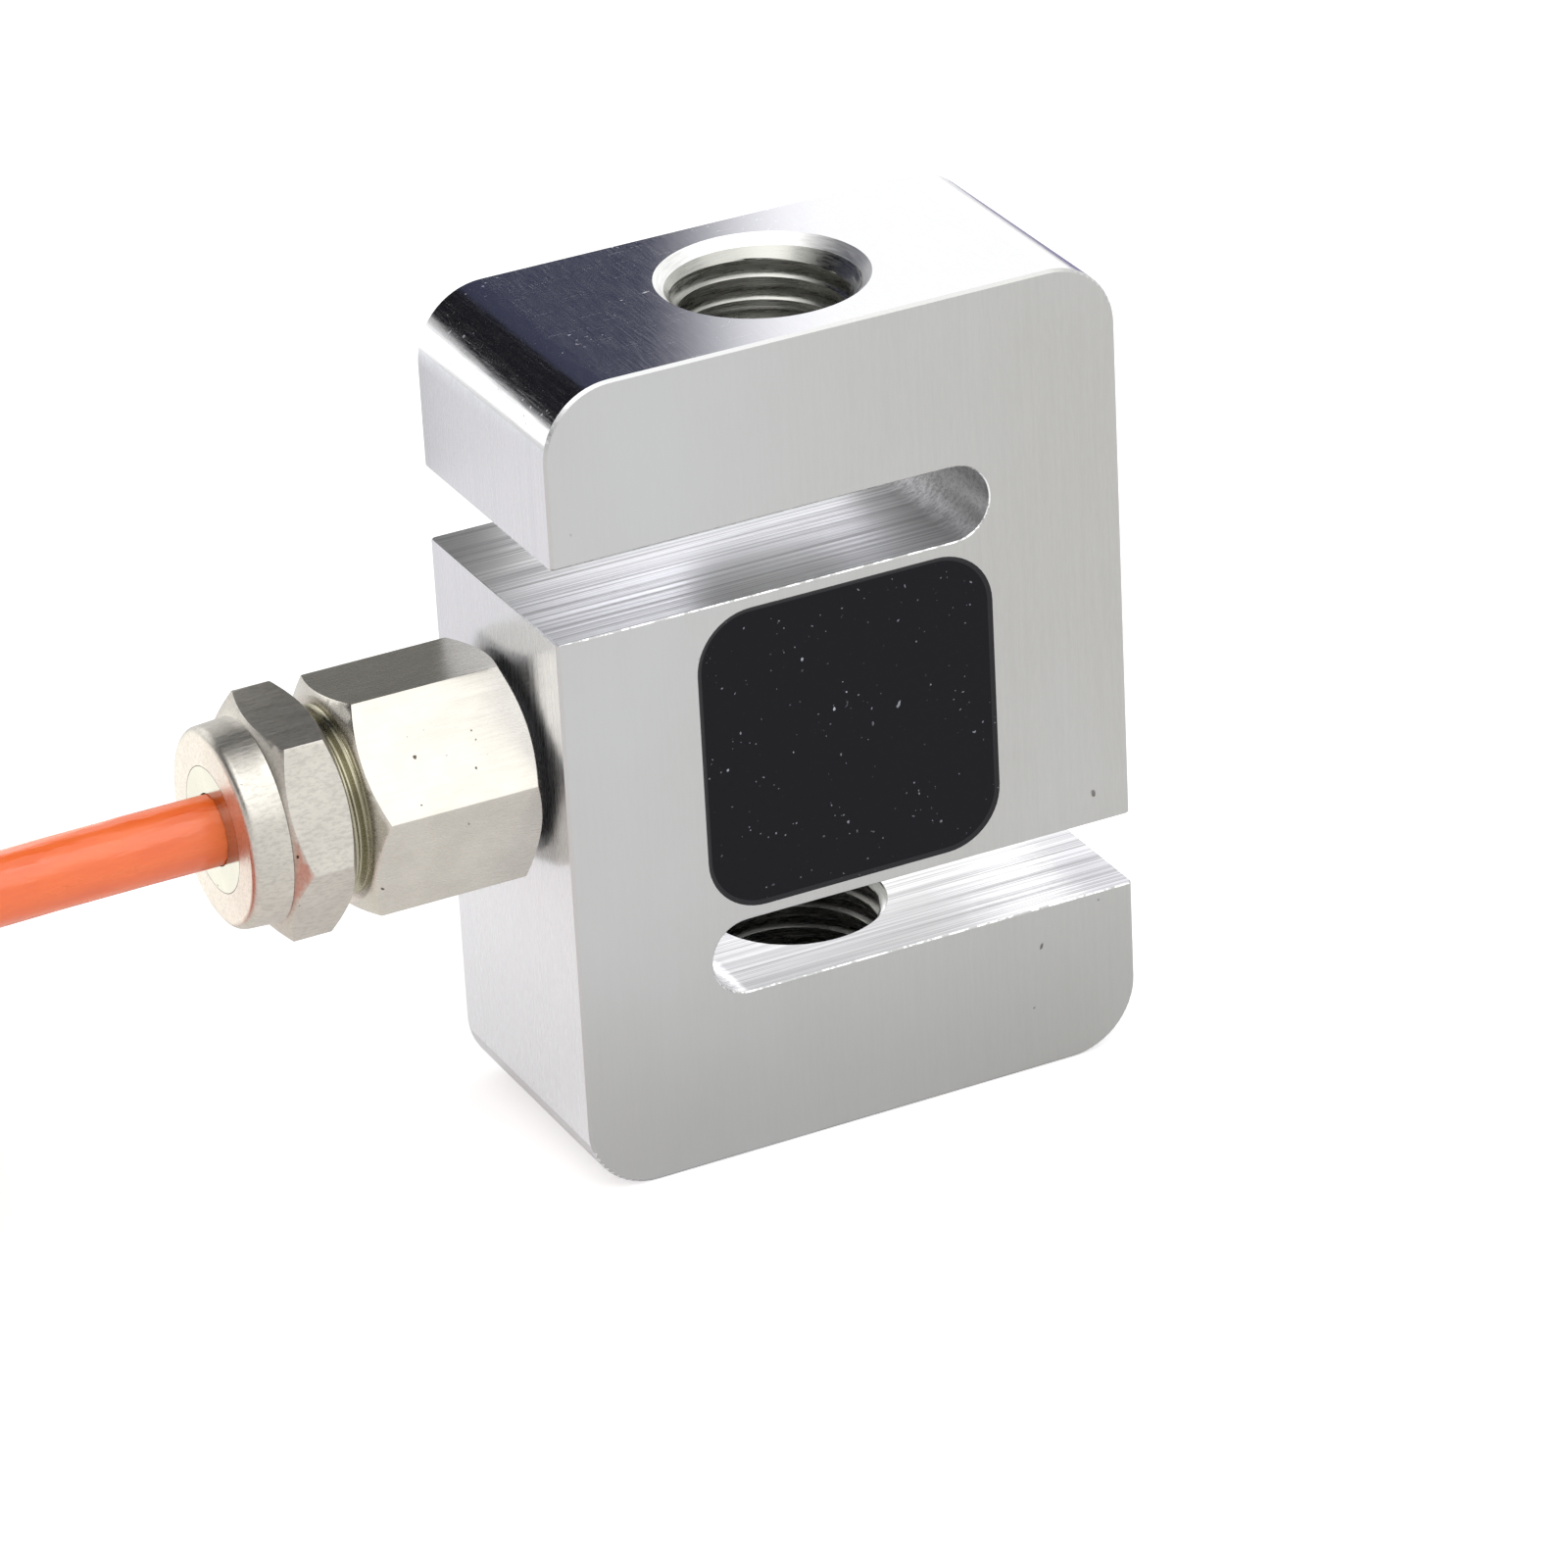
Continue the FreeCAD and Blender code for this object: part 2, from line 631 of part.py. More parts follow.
def make_gland_seal():
    seal = new_body("gland_seal")
    turned(seal, "SealRing", [
        ("cable_diameter / 2 + cable_play", SEAL_BASE),
        ("seal_seat / 2 - thread_play", SEAL_BASE),
        ("seal_seat / 2 - thread_play", f"{NUT_LIP} - sleeve_flange"),
        ("cable_diameter / 2 + cable_play", f"{NUT_LIP} - sleeve_flange"),
    ])
    on_gland_axis(seal)


def make_gland_sleeve():
    """The thrust sleeve: its flange presses the seal and its nose fills the nut's mouth."""
    sleeve = new_body("gland_thrust_sleeve")
    turned(sleeve, "Sleeve", [
        ("cable_diameter / 2 + cable_play", f"{NUT_LIP} - sleeve_flange"),
        ("seal_seat / 2 - thread_play", f"{NUT_LIP} - sleeve_flange"),
        ("seal_seat / 2 - thread_play", NUT_LIP),
        ("mouth_bore / 2 - thread_play", NUT_LIP),
        ("mouth_bore / 2 - thread_play", GLAND_END),
        ("cable_diameter / 2 + cable_play", GLAND_END),
    ])
    on_gland_axis(sleeve)


def make_gland_nut():
    nut = new_body("gland_dome_nut")
    hexagon(nut, "NutHexagon", "nut_hex_turn", NUT_BASE, "nut_hex_length")
    turned(nut, "Dome", [
        ("0", NUT_HEX_TOP),
        ("dome_base / 2", NUT_HEX_TOP),
        ("dome_top / 2", GLAND_END),
        ("0", GLAND_END),
    ])
    top = value(GLAND_END)
    dress(nut, "Fillet", "DomeRound", lambda edge: has_radius(edge, value("dome_top / 2"))
          and abs(edge.CenterOfMass.z - top) < 1e-4, Radius="dome_round")
    turned(nut, "NutBore", [
        ("0", NUT_BASE),
        ("gland_thread / 2 + thread_play", NUT_BASE),
        ("gland_thread / 2 + thread_play", NUT_LIP),
        ("mouth_bore / 2", NUT_LIP),
        ("mouth_bore / 2", GLAND_END),
        ("0", GLAND_END),
    ], cut=True)
    on_gland_axis(nut)


# ---------------------------------------------------------------- cable
def round_bar(points, diameter, report=None):
    """A round bar along straight runs joined by tangent arcs, each as large as its runs allow."""
    radius, solids, length, radii, start = diameter / 2, [], 0.0, [], points[0]
    for before, corner, after in zip(points, points[1:], points[2:]):
        back, ahead = before - corner, after - corner
        reach = ARC_SHARE * min(back.Length, ahead.Length)
        back.normalize()
        ahead.normalize()
        half_turn = (math.pi - back.getAngle(ahead)) / 2
        bend = reach / math.tan(half_turn)
        centre = corner + (back + ahead).normalize() * (bend / math.cos(half_turn))
        entry, leave = corner + back * reach, corner + ahead * reach
        solids.append(Part.makeCylinder(radius, (entry - start).Length, start, -back))
        section = Part.Face(Part.Wire(Part.makeCircle(radius, entry, -back)))
        axis = (entry - centre).cross(leave - centre)
        solids.append(section.revolve(centre, axis, math.degrees(2 * half_turn)))
        length += (entry - start).Length + bend * 2 * half_turn
        radii.append(bend)
        start = leave
    last = points[-1] - start
    solids.append(Part.makeCylinder(radius, last.Length, start, last))
    length += last.Length
    bar = solids[0].fuse(solids[1:])
    swept = math.pi * radius**2 * length
    if len(bar.Solids) != 1 or abs(bar.Volume / swept - 1) > 0.01:
        raise RuntimeError(f"the bar's volume is {bar.Volume:.2f}, and its sweep gives {swept:.2f}")
    if report:
        print(report, "length", round(length, 1), "radii", [round(bend, 1) for bend in radii])
    return bar


def shape_feature(name, shape):
    feature = doc.addObject("Part::Feature", "Shape_" + name)
    feature.Shape = shape
    feature.Placement = FreeCAD.Placement()
    return keep(name, feature)


def make_cable_lead():
    start = FreeCAD.Vector(value("-beam_width / 2 + jacket_entry"), 0, value("beam_height / 2"))
    axis_z = value("beam_height / 2")
    route = [start] + [FreeCAD.Vector(x, y, axis_z + drop) for x, y, drop in LEAD_ROUTE]
    shape_feature("cable_lead", round_bar(route, value("cable_diameter"), "cable_lead"))


def make_cable_coil():
    """The outer shape of the tied coil, with the stretch of cable that leaves it."""
    coil = new_body("cable_coil")
    half_width = "coil_columns * cable_diameter / 2"
    inside, outside = f"coil_radius - {half_width}", f"coil_radius + {half_width}"
    low, top = "tie_thickness", "tie_thickness + coil_rows * cable_diameter"
    slope = "cable_diameter / 3"
    turned(coil, "Turns", [
        (f"{inside} + {slope}", low),
        (f"{outside} - {slope}", low),
        (outside, f"{low} + {slope}"),
        (outside, f"{top} - {slope}"),
        (f"{outside} - {slope}", top),
        (f"{inside} + {slope}", top),
        (inside, f"{top} - {slope}"),
        (inside, f"{low} + {slope}"),
    ])
    tail = new_sketch(coil, "TailSection", "YZ_Plane")
    circle(tail, "cable_diameter", (f"coil_radius + {half_width} - cable_diameter / 2",
                                    "tie_thickness + cable_diameter / 2"))
    pad(coil, "Tail", tail, "coil_tail")
    bind(coil, Placement__Base__x="coil_x", Placement__Base__y="coil_y")
    doc.recompute()


def make_coil_tie(name, side):
    """A plastic tie that is closed round all the turns on one side of the coil."""
    tie = new_body(name)
    width = "coil_columns * cable_diameter + 2 * tie_play"
    height = "coil_rows * cable_diameter + tie_play"
    loop = new_sketch(tie, name + "_loop", "XZ_Plane")
    rectangle(loop, f"{width} + 2 * tie_thickness", f"{height} + 2 * tie_thickness",
              ("0", f"tie_thickness + ({height}) / 2"))
    rectangle(loop, width, height, ("0", f"tie_thickness + ({height}) / 2"))
    pad(tie, name + "_band", loop, "tie_width", symmetric=True)
    inner = value(f"({width}) / 2")

    def inside(edge):
        return is_along(edge, AXIS_Y) and abs(abs(edge.CenterOfMass.x) - inner) < 1e-4

    def outside(edge):
        return is_along(edge, AXIS_Y) and abs(edge.CenterOfMass.x) > inner + 1e-4

    dress(tie, "Fillet", name + "_inside", inside, Radius="cable_diameter / 3")
    dress(tie, "Fillet", name + "_outside", outside, Radius="cable_diameter / 3 + tie_thickness")
    head = new_sketch(tie, name + "_head", "XZ_Plane")
    rectangle(head, "tie_head", "tie_head",
              (f"{side}(({width}) / 2 + tie_thickness / 2 + tie_head / 2)", f"tie_thickness + ({height}) / 2"))
    pad(tie, name + "_block", head, "tie_width + tie_thickness", symmetric=True)
    bind(tie, Placement__Base__x=f"coil_x {side or '+'} coil_radius", Placement__Base__y="coil_y")
    doc.recompute()


def make_stripped_end():
    """The cores that come out of the jacket behind the coil, with tinned tips."""
    jacket = FreeCAD.Vector(
        value("coil_x + coil_tail"),
        value("coil_y + coil_radius + (coil_columns - 1) * cable_diameter / 2"),
        value("tie_thickness + cable_diameter / 2"),
    )
    diameter, seat = value("core_diameter"), value("core_seat")
    tips = []
    for colour, (across, up) in CORE_SEATS.items():
        start = jacket + FreeCAD.Vector(0, across * seat, up * seat)
        straight = start + FreeCAD.Vector(value("core_run_in"), 0, 0)
        runs = [FreeCAD.Vector(jacket.x + x, jacket.y + y, z) for x, y, z in CORE_RUNS[colour]]
        core = round_bar([start, straight] + runs, diameter)
        shape_feature(f"stripped_{colour}_core", core)
        along = (runs[-1] - runs[-2]).normalize()
        tips.append(Part.makeCylinder(value("tip_diameter / 2"), value("tip_length"), runs[-1], along))
    shape_feature("tinned_tips", Part.makeCompound(tips))


# ---------------------------------------------------------------- build, check and write
make_beam()
make_pocket_contents()
make_gland_body()
make_gland_gasket()
make_gland_seal()
make_gland_sleeve()
make_gland_nut()
make_cable_lead()
make_cable_coil()
make_coil_tie("left_coil_tie", "-")
make_coil_tie("right_coil_tie", "")
make_stripped_end()
doc.recompute()

for thing in doc.Objects:
    if {"Invalid", "Error"} & set(thing.State):
        raise RuntimeError(f"{thing.Name} ({thing.Label}) did not compute: {thing.State}")
os.makedirs("parts", exist_ok=True)
for name, thing in parts.items():
    shape = thing.Shape
    if shape.isNull() or not shape.isValid() or not shape.Solids:
        raise RuntimeError(f"{name} has no valid solid")
for name, thing in parts.items():
    thing.Shape.exportStep(f"parts/{name}.step")
    box = thing.Shape.BoundBox
    print(f"{name:24s} solids {len(thing.Shape.Solids)}  volume {thing.Shape.Volume:10.2f}  "
          f"x {box.XMin:8.2f} {box.XMax:8.2f}  y {box.YMin:7.2f} {box.YMax:7.2f}  z {box.ZMin:6.2f} {box.ZMax:6.2f}")
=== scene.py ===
"""Dresses a packed S-type load cell: threads, ground steel, nickel gland, potting and cable."""
import json
import math

import bmesh
import bpy
from bpy.props import FloatProperty, FloatVectorProperty, IntProperty, PointerProperty
from mathutils import Matrix, Vector


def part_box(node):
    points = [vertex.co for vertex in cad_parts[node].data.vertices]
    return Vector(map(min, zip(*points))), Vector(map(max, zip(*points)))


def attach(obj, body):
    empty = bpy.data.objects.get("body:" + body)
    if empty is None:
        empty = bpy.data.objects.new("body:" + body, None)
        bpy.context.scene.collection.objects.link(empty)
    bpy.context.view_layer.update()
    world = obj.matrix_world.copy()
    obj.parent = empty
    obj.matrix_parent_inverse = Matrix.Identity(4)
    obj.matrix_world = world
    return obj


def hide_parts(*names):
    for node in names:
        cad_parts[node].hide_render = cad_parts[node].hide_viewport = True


bl_info = {
    "name": "S-type load cell",
    "version": (1, 0, 0),
    "blender": (4, 5, 0),
    "location": "View3D > Sidebar > Load Cell",
    "description": "Builds the looks of an S-type load cell round its packed CAD model",
    "category": "Object",
}

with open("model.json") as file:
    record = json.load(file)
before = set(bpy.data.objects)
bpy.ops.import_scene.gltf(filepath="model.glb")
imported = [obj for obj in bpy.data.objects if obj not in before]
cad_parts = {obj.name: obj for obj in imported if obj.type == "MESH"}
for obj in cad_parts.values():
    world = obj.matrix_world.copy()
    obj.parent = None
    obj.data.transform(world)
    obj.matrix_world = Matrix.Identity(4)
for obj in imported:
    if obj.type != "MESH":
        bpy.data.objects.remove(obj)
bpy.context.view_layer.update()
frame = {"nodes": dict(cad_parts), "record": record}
MM = 0.001
BODY = "root"
BEAM_LOW, BEAM_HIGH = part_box("beam")
NUT_LOW, NUT_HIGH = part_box("gland_dome_nut")
GLAND_AXIS = Vector((0.0, 0.0, (NUT_LOW.z + NUT_HIGH.z) / 2))
OPENINGS = {item["name"]: item["box_m"] for item in frame["record"]["physics"]["openings"]}
OPENING_CLEAR = 0.2 * MM        # how far an opening's box stays off the walls of its slot

# Radii of a mounting hole: at its threads' crests, at its outer mouth and where it meets a slot.
BORE, MOUTH, RELIEF = 7.0 * MM, 8.85 * MM, 7.7 * MM
# Corner radius of a gauge pocket.
POCKET_CORNER = 5.0 * MM
# The thread between the gland's hexagons: its crests' radius and where it begins along X.
COLLAR_CREST, COLLAR_START = 7.9 * MM, -40.9 * MM
HEXAGON_FROM = 8.0 * MM         # further than this from the gland's axis are its hexagons

NEAR = 0.01 * MM                # a distance too small to see
CUT_TOLERANCE = 1e-8            # how near to a cut a vertex counts as on it
NOISE_SPAN = (0.3, 0.7)         # where most of a noise pattern's values lie


# ---------------------------------------------------------------- settings
class StageSettings(bpy.types.PropertyGroup):
    """Floor, light and camera."""

    floor_size: FloatProperty(
        name="Floor size", description="Side of the square floor", default=8.0, unit="LENGTH")
    floor_tone: FloatProperty(
        name="Floor tone", description="How pale the floor is", default=0.8, subtype="FACTOR")
    floor_glow: FloatProperty(
        name="Floor glow", description="White that the floor adds for the camera", default=0.5)
    gloss_glow: FloatProperty(
        name="Gloss glow", description="White that the floor adds in reflections", default=0.2)
    sky_light: FloatProperty(
        name="Sky light", description="Strength of the soft light from all sides", default=0.8)
    key_power: FloatProperty(
        name="Key power", description="Power of the softbox overhead", default=1.2, unit="POWER")
    card_tone: FloatVectorProperty(
        name="Blue card", description="Colour that the card behind shows in the top",
        default=(0.055, 0.06, 0.105), subtype="COLOR")
    card_glow: FloatProperty(
        name="Card glow", description="Strength of the white cards in gloss", default=1.8)
    lens: FloatProperty(
        name="Lens", description="Focal length of the camera in millimetres", default=175.37)


class SteelSettings(bpy.types.PropertyGroup):
    """The beam's steel and its mounting threads."""

    ground_colour: FloatVectorProperty(
        name="Ground face", description="Colour of the ground front and rear",
        default=(0.52, 0.515, 0.495), subtype="COLOR")
    polished_colour: FloatVectorProperty(
        name="Polished face", description="Colour of the top, bottom and round corners",
        default=(0.66, 0.66, 0.67), subtype="COLOR")
    side_colour: FloatVectorProperty(
        name="Side face", description="Colour of the sides", default=(0.72, 0.73, 0.77),
        subtype="COLOR")
    thread_colour: FloatVectorProperty(
        name="Thread", description="Colour of the cut threads", default=(0.44, 0.44, 0.41),
        subtype="COLOR")
    milled_colour: FloatVectorProperty(
        name="Milled slot", description="Colour of the slots' walls", default=(0.66, 0.66, 0.67),
        subtype="COLOR")
    countersink_colour: FloatVectorProperty(
        name="Countersink", description="Colour of the holes' countersinks",
        default=(0.9, 0.9, 0.89), subtype="COLOR")
    thread_pitch: FloatProperty(
        name="Thread pitch", description="Pitch of the mounting threads", default=2.0 * MM,
        unit="LENGTH")
    thread_depth: FloatProperty(
        name="Thread depth", description="Depth of the mounting threads", default=1.0 * MM,
        unit="LENGTH")
    thread_steps: IntProperty(
        name="Thread steps", description="Faces round one turn of a thread", default=96)


class GlandSettings(bpy.types.PropertyGroup):
    """The cable gland."""

    nickel_colour: FloatVectorProperty(
        name="Nickel", description="Colour of the nickel plate", default=(0.66, 0.63, 0.57),
        subtype="COLOR")
    collar_colour: FloatVectorProperty(
        name="Collar", description="Colour of the thread between the hexagons",
        default=(0.42, 0.40, 0.30), subtype="COLOR")
    sleeve_colour: FloatVectorProperty(
        name="Sleeve", description="Colour of the sleeve in the nut's mouth",
        default=(0.50, 0.49, 0.42), subtype="COLOR")
    thread_pitch: FloatProperty(
        name="Thread pitch", description="Pitch of the gland's outer thread", default=1.0 * MM,
        unit="LENGTH")
    thread_depth: FloatProperty(
        name="Thread depth", description="Depth of the gland's outer thread", default=0.5 * MM,
        unit="LENGTH")
    thread_steps: IntProperty(
        name="Thread steps", description="Faces round one turn of the thread", default=72)


class CableSettings(bpy.types.PropertyGroup):
    """The cable and its coil."""

    jacket_colour: FloatVectorProperty(
        name="Jacket", description="Colour of the jacket", default=(0.98, 0.165, 0.032),
        subtype="COLOR")
    diameter: FloatProperty(
        name="Diameter", description="Outer diameter", default=6.0 * MM, unit="LENGTH")
    length: FloatProperty(
        name="Length", description="Length from the gland's mouth to the bare end", default=2.84,
        unit="LENGTH")
    coil_radius: FloatProperty(
        name="Coil radius", description="Radius of the middle turns", default=30.0 * MM,
        unit="LENGTH")


GROUPS = {
    "load_cell_stage": StageSettings,
    "load_cell_steel": SteelSettings,
    "load_cell_gland": GlandSettings,
    "load_cell_cable": CableSettings,
}


def settings(name):
    """The values that the panel holds for one group."""
    return getattr(bpy.context.scene, "load_cell_" + name)


# ---------------------------------------------------------------- materials
class Number:
    """A number socket that expressions can use; each operator adds a Math node."""

    def __init__(self, nodes, socket):
        self.nodes, self.socket = nodes, socket

    def __add__(self, other):
        return self.nodes.maths("ADD", self, other)

    def __radd__(self, other):
        return self.nodes.maths("ADD", other, self)

    def __mul__(self, other):
        return self.nodes.maths("MULTIPLY", self, other)

    def __rmul__(self, other):
        return self.nodes.maths("MULTIPLY", other, self)


def rgba(colour):
    """A colour of three numbers made opaque; anything else as it is."""
    return (*colour, 1.0) if hasattr(colour, "__len__") and len(colour) == 3 else colour


def shade(colour, factor):
    """A colour made paler or darker."""
    return [min(part * factor, 1.0) for part in colour]


class Nodes:
    """The nodes of one material or of the world."""

    def __init__(self, owner):
        owner.use_nodes = True
        self.tree = owner.node_tree
        self.tree.nodes.clear()

    def node(self, kind, setup=None):
        """A new node with its settings."""
        made = self.tree.nodes.new(kind)
        for key, setting in (setup or {}).items():
            setattr(made, key, setting)
        return made

    def feed(self, made, sockets):
        """Sets the node's sockets to plain values or links them."""
        for key, value in sockets.items():
            if isinstance(value, Number):
                value = value.socket
            if isinstance(value, bpy.types.NodeSocket):
                self.tree.links.new(value, made.inputs[key])
            else:
                made.inputs[key].default_value = value
        return made

    def make(self, kind, sockets, setup=None, output=0):
        """A new node with its settings and sockets, as the output that is used."""
        return Number(self, self.feed(self.node(kind, setup), sockets).outputs[output])

    def maths(self, operation, first, second):
        return self.make("ShaderNodeMath", {0: first, 1: second}, {"operation": operation})

    def seen_rays(self):
        """1 for what is seen straight or through glass, and 1 for what gloss shows."""
        rays = self.node("ShaderNodeLightPath").outputs
        straight = self.maths("MAXIMUM", rays["Is Camera Ray"], rays["Is Transmission Ray"])
        return straight, Number(self, rays["Is Glossy Ray"])


class Finish(Nodes):
    """One material and the nodes it is made of."""

    def __init__(self, name):
        self.material = bpy.data.materials.new(name)
        super().__init__(self.material)
        self.place = self.node("ShaderNodeTexCoord").outputs["Object"]

    def along(self, axis):
        """A point's X, Y or Z."""
        return self.make("ShaderNodeSeparateXYZ", {0: self.place}, output="XYZ".index(axis))

    def spread(self, scale, turn=(0.0, 0.0, 0.0)):
        """Object coordinates turned and stretched, in pattern units per metre."""
        return self.make(
            "ShaderNodeMapping", {"Vector": self.place, "Scale": scale, "Rotation": turn})

    def noise(self, scale, detail=2.0, roughness=0.5, turn=(0.0, 0.0, 0.0)):
        return self.make("ShaderNodeTexNoise", {
            "Vector": self.spread(scale, turn), "Scale": 1.0, "Detail": detail,
            "Roughness": roughness})

    def ramp(self, value, low, high, to_low=0.0, to_high=1.0):
        """The value's stretch from low to high, smoothed, as a number from to_low to to_high."""
        return self.make(
            "ShaderNodeMapRange",
            {"Value": value, "From Min": low, "From Max": high, "To Min": to_low,
             "To Max": to_high},
            {"interpolation_type": "SMOOTHSTEP"})

    def mix(self, share, first, second):
        """Two colours mixed by a number; sockets 6 and 7 of the node are its colours."""
        return self.make(
            "ShaderNodeMix", {0: share, 6: rgba(first), 7: rgba(second)}, {"data_type": "RGBA"},
            output=2)

    def bump(self, height, distance, strength=1.0, under=None):
        sockets = {"Height": height, "Distance": distance, "Strength": strength}
        if under is not None:
            sockets["Normal"] = under
        return self.make("ShaderNodeBump", sockets)

    def surface(self, shader):
        """Ends the material in a shader."""
        self.feed(self.node("ShaderNodeOutputMaterial"), {"Surface": shader})
        return self.material

    def principled(self, **sockets):
        """The material with a Principled shader, its sockets named with _ for a space."""
        named = {key.replace("_", " "): value for key, value in sockets.items()}
        named["Base Color"] = rgba(named["Base Color"])
        return self.surface(self.make("ShaderNodeBsdfPrincipled", named))

    def metal(self, tone, rough, normal):
        """The material as bare metal."""
        return self.principled(Base_Color=tone, Metallic=1.0, Roughness=rough, Normal=normal)


def sparse(finish, scale, low, high, patch=110.0):
    """Small spots that gather in some places and leave others clean, 0 or 1."""
    spots = finish.ramp(finish.noise((scale, scale, scale), 1.0, 0.4), low, high)
    gathered = finish.noise((patch, patch, patch * 0.6), 2.0, 0.6)
    return spots * finish.ramp(gathered, 0.47, 0.58)


def ground_steel(colour):
    """Satin grinding marks a little off vertical, with pits; paler by the gland from painted
    light, darker below from painted shade.
    """
    finish = Finish("ground_steel")
    along, upward = finish.along("X"), finish.along("Z")
    fine = finish.noise((8000.0, 8000.0, 700.0), 3.0, 0.65, (0.0, math.radians(14), 0.0))
    cross = finish.noise((2600.0, 2600.0, 90.0), 2.0, 0.6, (0.0, math.radians(-9), 0.0))
    broad = finish.noise((45.0, 45.0, 30.0), 3.0, 0.55)
    pits = sparse(finish, 620.0, 0.79, 0.82, 60.0)
    marks = fine * 0.6 + cross * 0.4
    tone = finish.mix(finish.ramp(marks, 0.32, 0.68), shade(colour, 0.955), shade(colour, 1.03))
    # Painted light: paler towards the gland; the broad noise adds random blotches of the same pale
    # tone.
    pale = finish.ramp(along, BEAM_LOW.x, BEAM_HIGH.x, 0.55, 0.0) \
        + finish.ramp(broad, *NOISE_SPAN, 0.0, 0.3)
    # Painted shade: darker towards the foot, where the face reflects the shadowed floor in front
    # of it.
    painted_foot_shade = finish.ramp(upward, BEAM_LOW.z, BEAM_LOW.z + 26.0 * MM, 0.3, 0.0)
    tone = finish.mix(pale, tone, (0.605, 0.612, 0.62))
    tone = finish.mix(painted_foot_shade, tone, (0.22, 0.22, 0.21))
    tone = finish.mix(pits, tone, (0.12, 0.11, 0.10))
    rough = finish.ramp(broad, *NOISE_SPAN, 0.34, 0.44)
    return finish.metal(tone, rough, finish.bump(marks, 0.000003, 0.5))


def polished_steel(colour):
    """Near-mirror ground steel with a fine cross hatch, specks and scratches."""
    finish = Finish("polished_steel")
    one_way = finish.noise((7000.0, 300.0, 7000.0), 2.0, 0.6, (0.0, 0.0, math.radians(35)))
    other_way = finish.noise((7000.0, 300.0, 7000.0), 2.0, 0.6, (0.0, 0.0, math.radians(-40)))
    hatch = one_way * 0.5 + other_way * 0.5
    specks = sparse(finish, 2300.0, 0.70, 0.76)
    lines = finish.noise((260.0, 5200.0, 5200.0), 1.0, 0.5, (0.0, 0.0, math.radians(22)))
    scratches = finish.ramp(lines, 0.70, 0.76)
    worn = finish.maths("MAXIMUM", specks, scratches * 0.25)
    tone = finish.mix(worn, colour, (0.9, 0.9, 0.95))
    rough = finish.ramp(hatch, 0.35, 0.65, 0.13, 0.24) + worn * 0.35
    return finish.metal(tone, rough, finish.bump(hatch, 0.000002, 0.5))


def side_steel(colour):
    """Bright ground steel with vertical streaks, paler towards its foot from a painted reflection.
    """
    finish = Finish("side_steel")
    streaks = finish.noise((2500.0, 2500.0, 60.0), 3.0, 0.6)
    # Painted reflection: a bluish white towards the foot stands in for the bright floor that the
    # side reflects.
    foot = finish.ramp(finish.along("Z"), 18.0 * MM, 44.0 * MM, 0.75, 0.0)
    tone = finish.mix(
        finish.ramp(streaks, *NOISE_SPAN), shade(colour, 0.94), shade(colour, 1.04))
    tone = finish.mix(foot, tone, (0.93, 0.95, 0.97))
    rough = finish.ramp(streaks, *NOISE_SPAN, 0.22, 0.32)
    return finish.metal(tone, rough, finish.bump(streaks, 0.000003, 0.5))


def milled_steel(colour):
    """Cutter marks along the slot, some bright and some darker and rougher."""
    finish = Finish("milled_steel")
    fine = finish.noise((30.0, 7000.0, 7000.0), 2.0, 0.6)
    broad = finish.noise((12.0, 2400.0, 2400.0), 3.0, 0.7)
    marks = fine * 0.45 + broad * 0.55
    tone = finish.mix(finish.ramp(marks, 0.36, 0.62), shade(colour, 0.76), shade(colour, 1.27))
    rough = finish.ramp(marks, 0.36, 0.62, 0.46, 0.28)
    return finish.metal(tone, rough, finish.bump(marks, 0.000018, 0.7))


def burr_steel():
    """The ragged edge that the slot cutter leaves, with painted glints broken along it."""
    finish = Finish("burr_steel")
    torn_glints = finish.noise((900.0, 900.0, 900.0), 4.0, 0.75)
    # Painted highlight: the white in the tone is broken glints along the edge.
    tone = finish.mix(finish.ramp(torn_glints, 0.46, 0.56), (0.42, 0.42, 0.41), (1.0, 1.0, 1.0))
    return finish.metal(tone, 0.3, finish.bump(torn_glints, 0.00015, 0.8))


def turned_steel(name, colour, rough_low, rough_high):
    """Cut threads and countersinks: rings of tool marks."""
    finish = Finish(name)
    marks = finish.noise((500.0, 500.0, 9000.0), 2.0, 0.6)
    tone = finish.mix(finish.ramp(marks, *NOISE_SPAN), shade(colour, 0.85), colour)
    rough = finish.ramp(marks, *NOISE_SPAN, rough_low, rough_high)
    return finish.metal(tone, rough, finish.bump(marks, 0.000004, 0.5))


def nickel_plate(name, colour, rough_low, rough_high, grain=0.0):
    """Bright nickel over brushed brass, with faint stains, pits and a sandy grain."""
    finish = Finish(name)
    brush = finish.noise((220.0, 6000.0, 6000.0), 2.0, 0.6)
    cloud = finish.noise((260.0, 260.0, 260.0), 4.0, 0.6)
    sand = finish.noise((1500.0, 3800.0, 3800.0), 2.0, 0.7)
    pits = sparse(finish, 1500.0, 0.77, 0.80, 160.0)
    tone = finish.mix(finish.ramp(cloud, 0.3, 0.75), shade(colour, 0.9), colour)
    tone = finish.mix(finish.ramp(sand, 0.36, 0.56, grain * 0.45, 0.0), tone, (0.18, 0.17, 0.16))
    tone = finish.mix(pits, tone, (0.10, 0.09, 0.07))
    rough = finish.ramp(brush, *NOISE_SPAN, rough_low, rough_high)
    brushed = finish.bump(brush, 0.000003, 0.5)
    sanded = finish.bump(sand, 0.00001 + 0.00005 * grain, 0.15 + 0.5 * grain, brushed)
    return finish.metal(tone, rough, sanded)


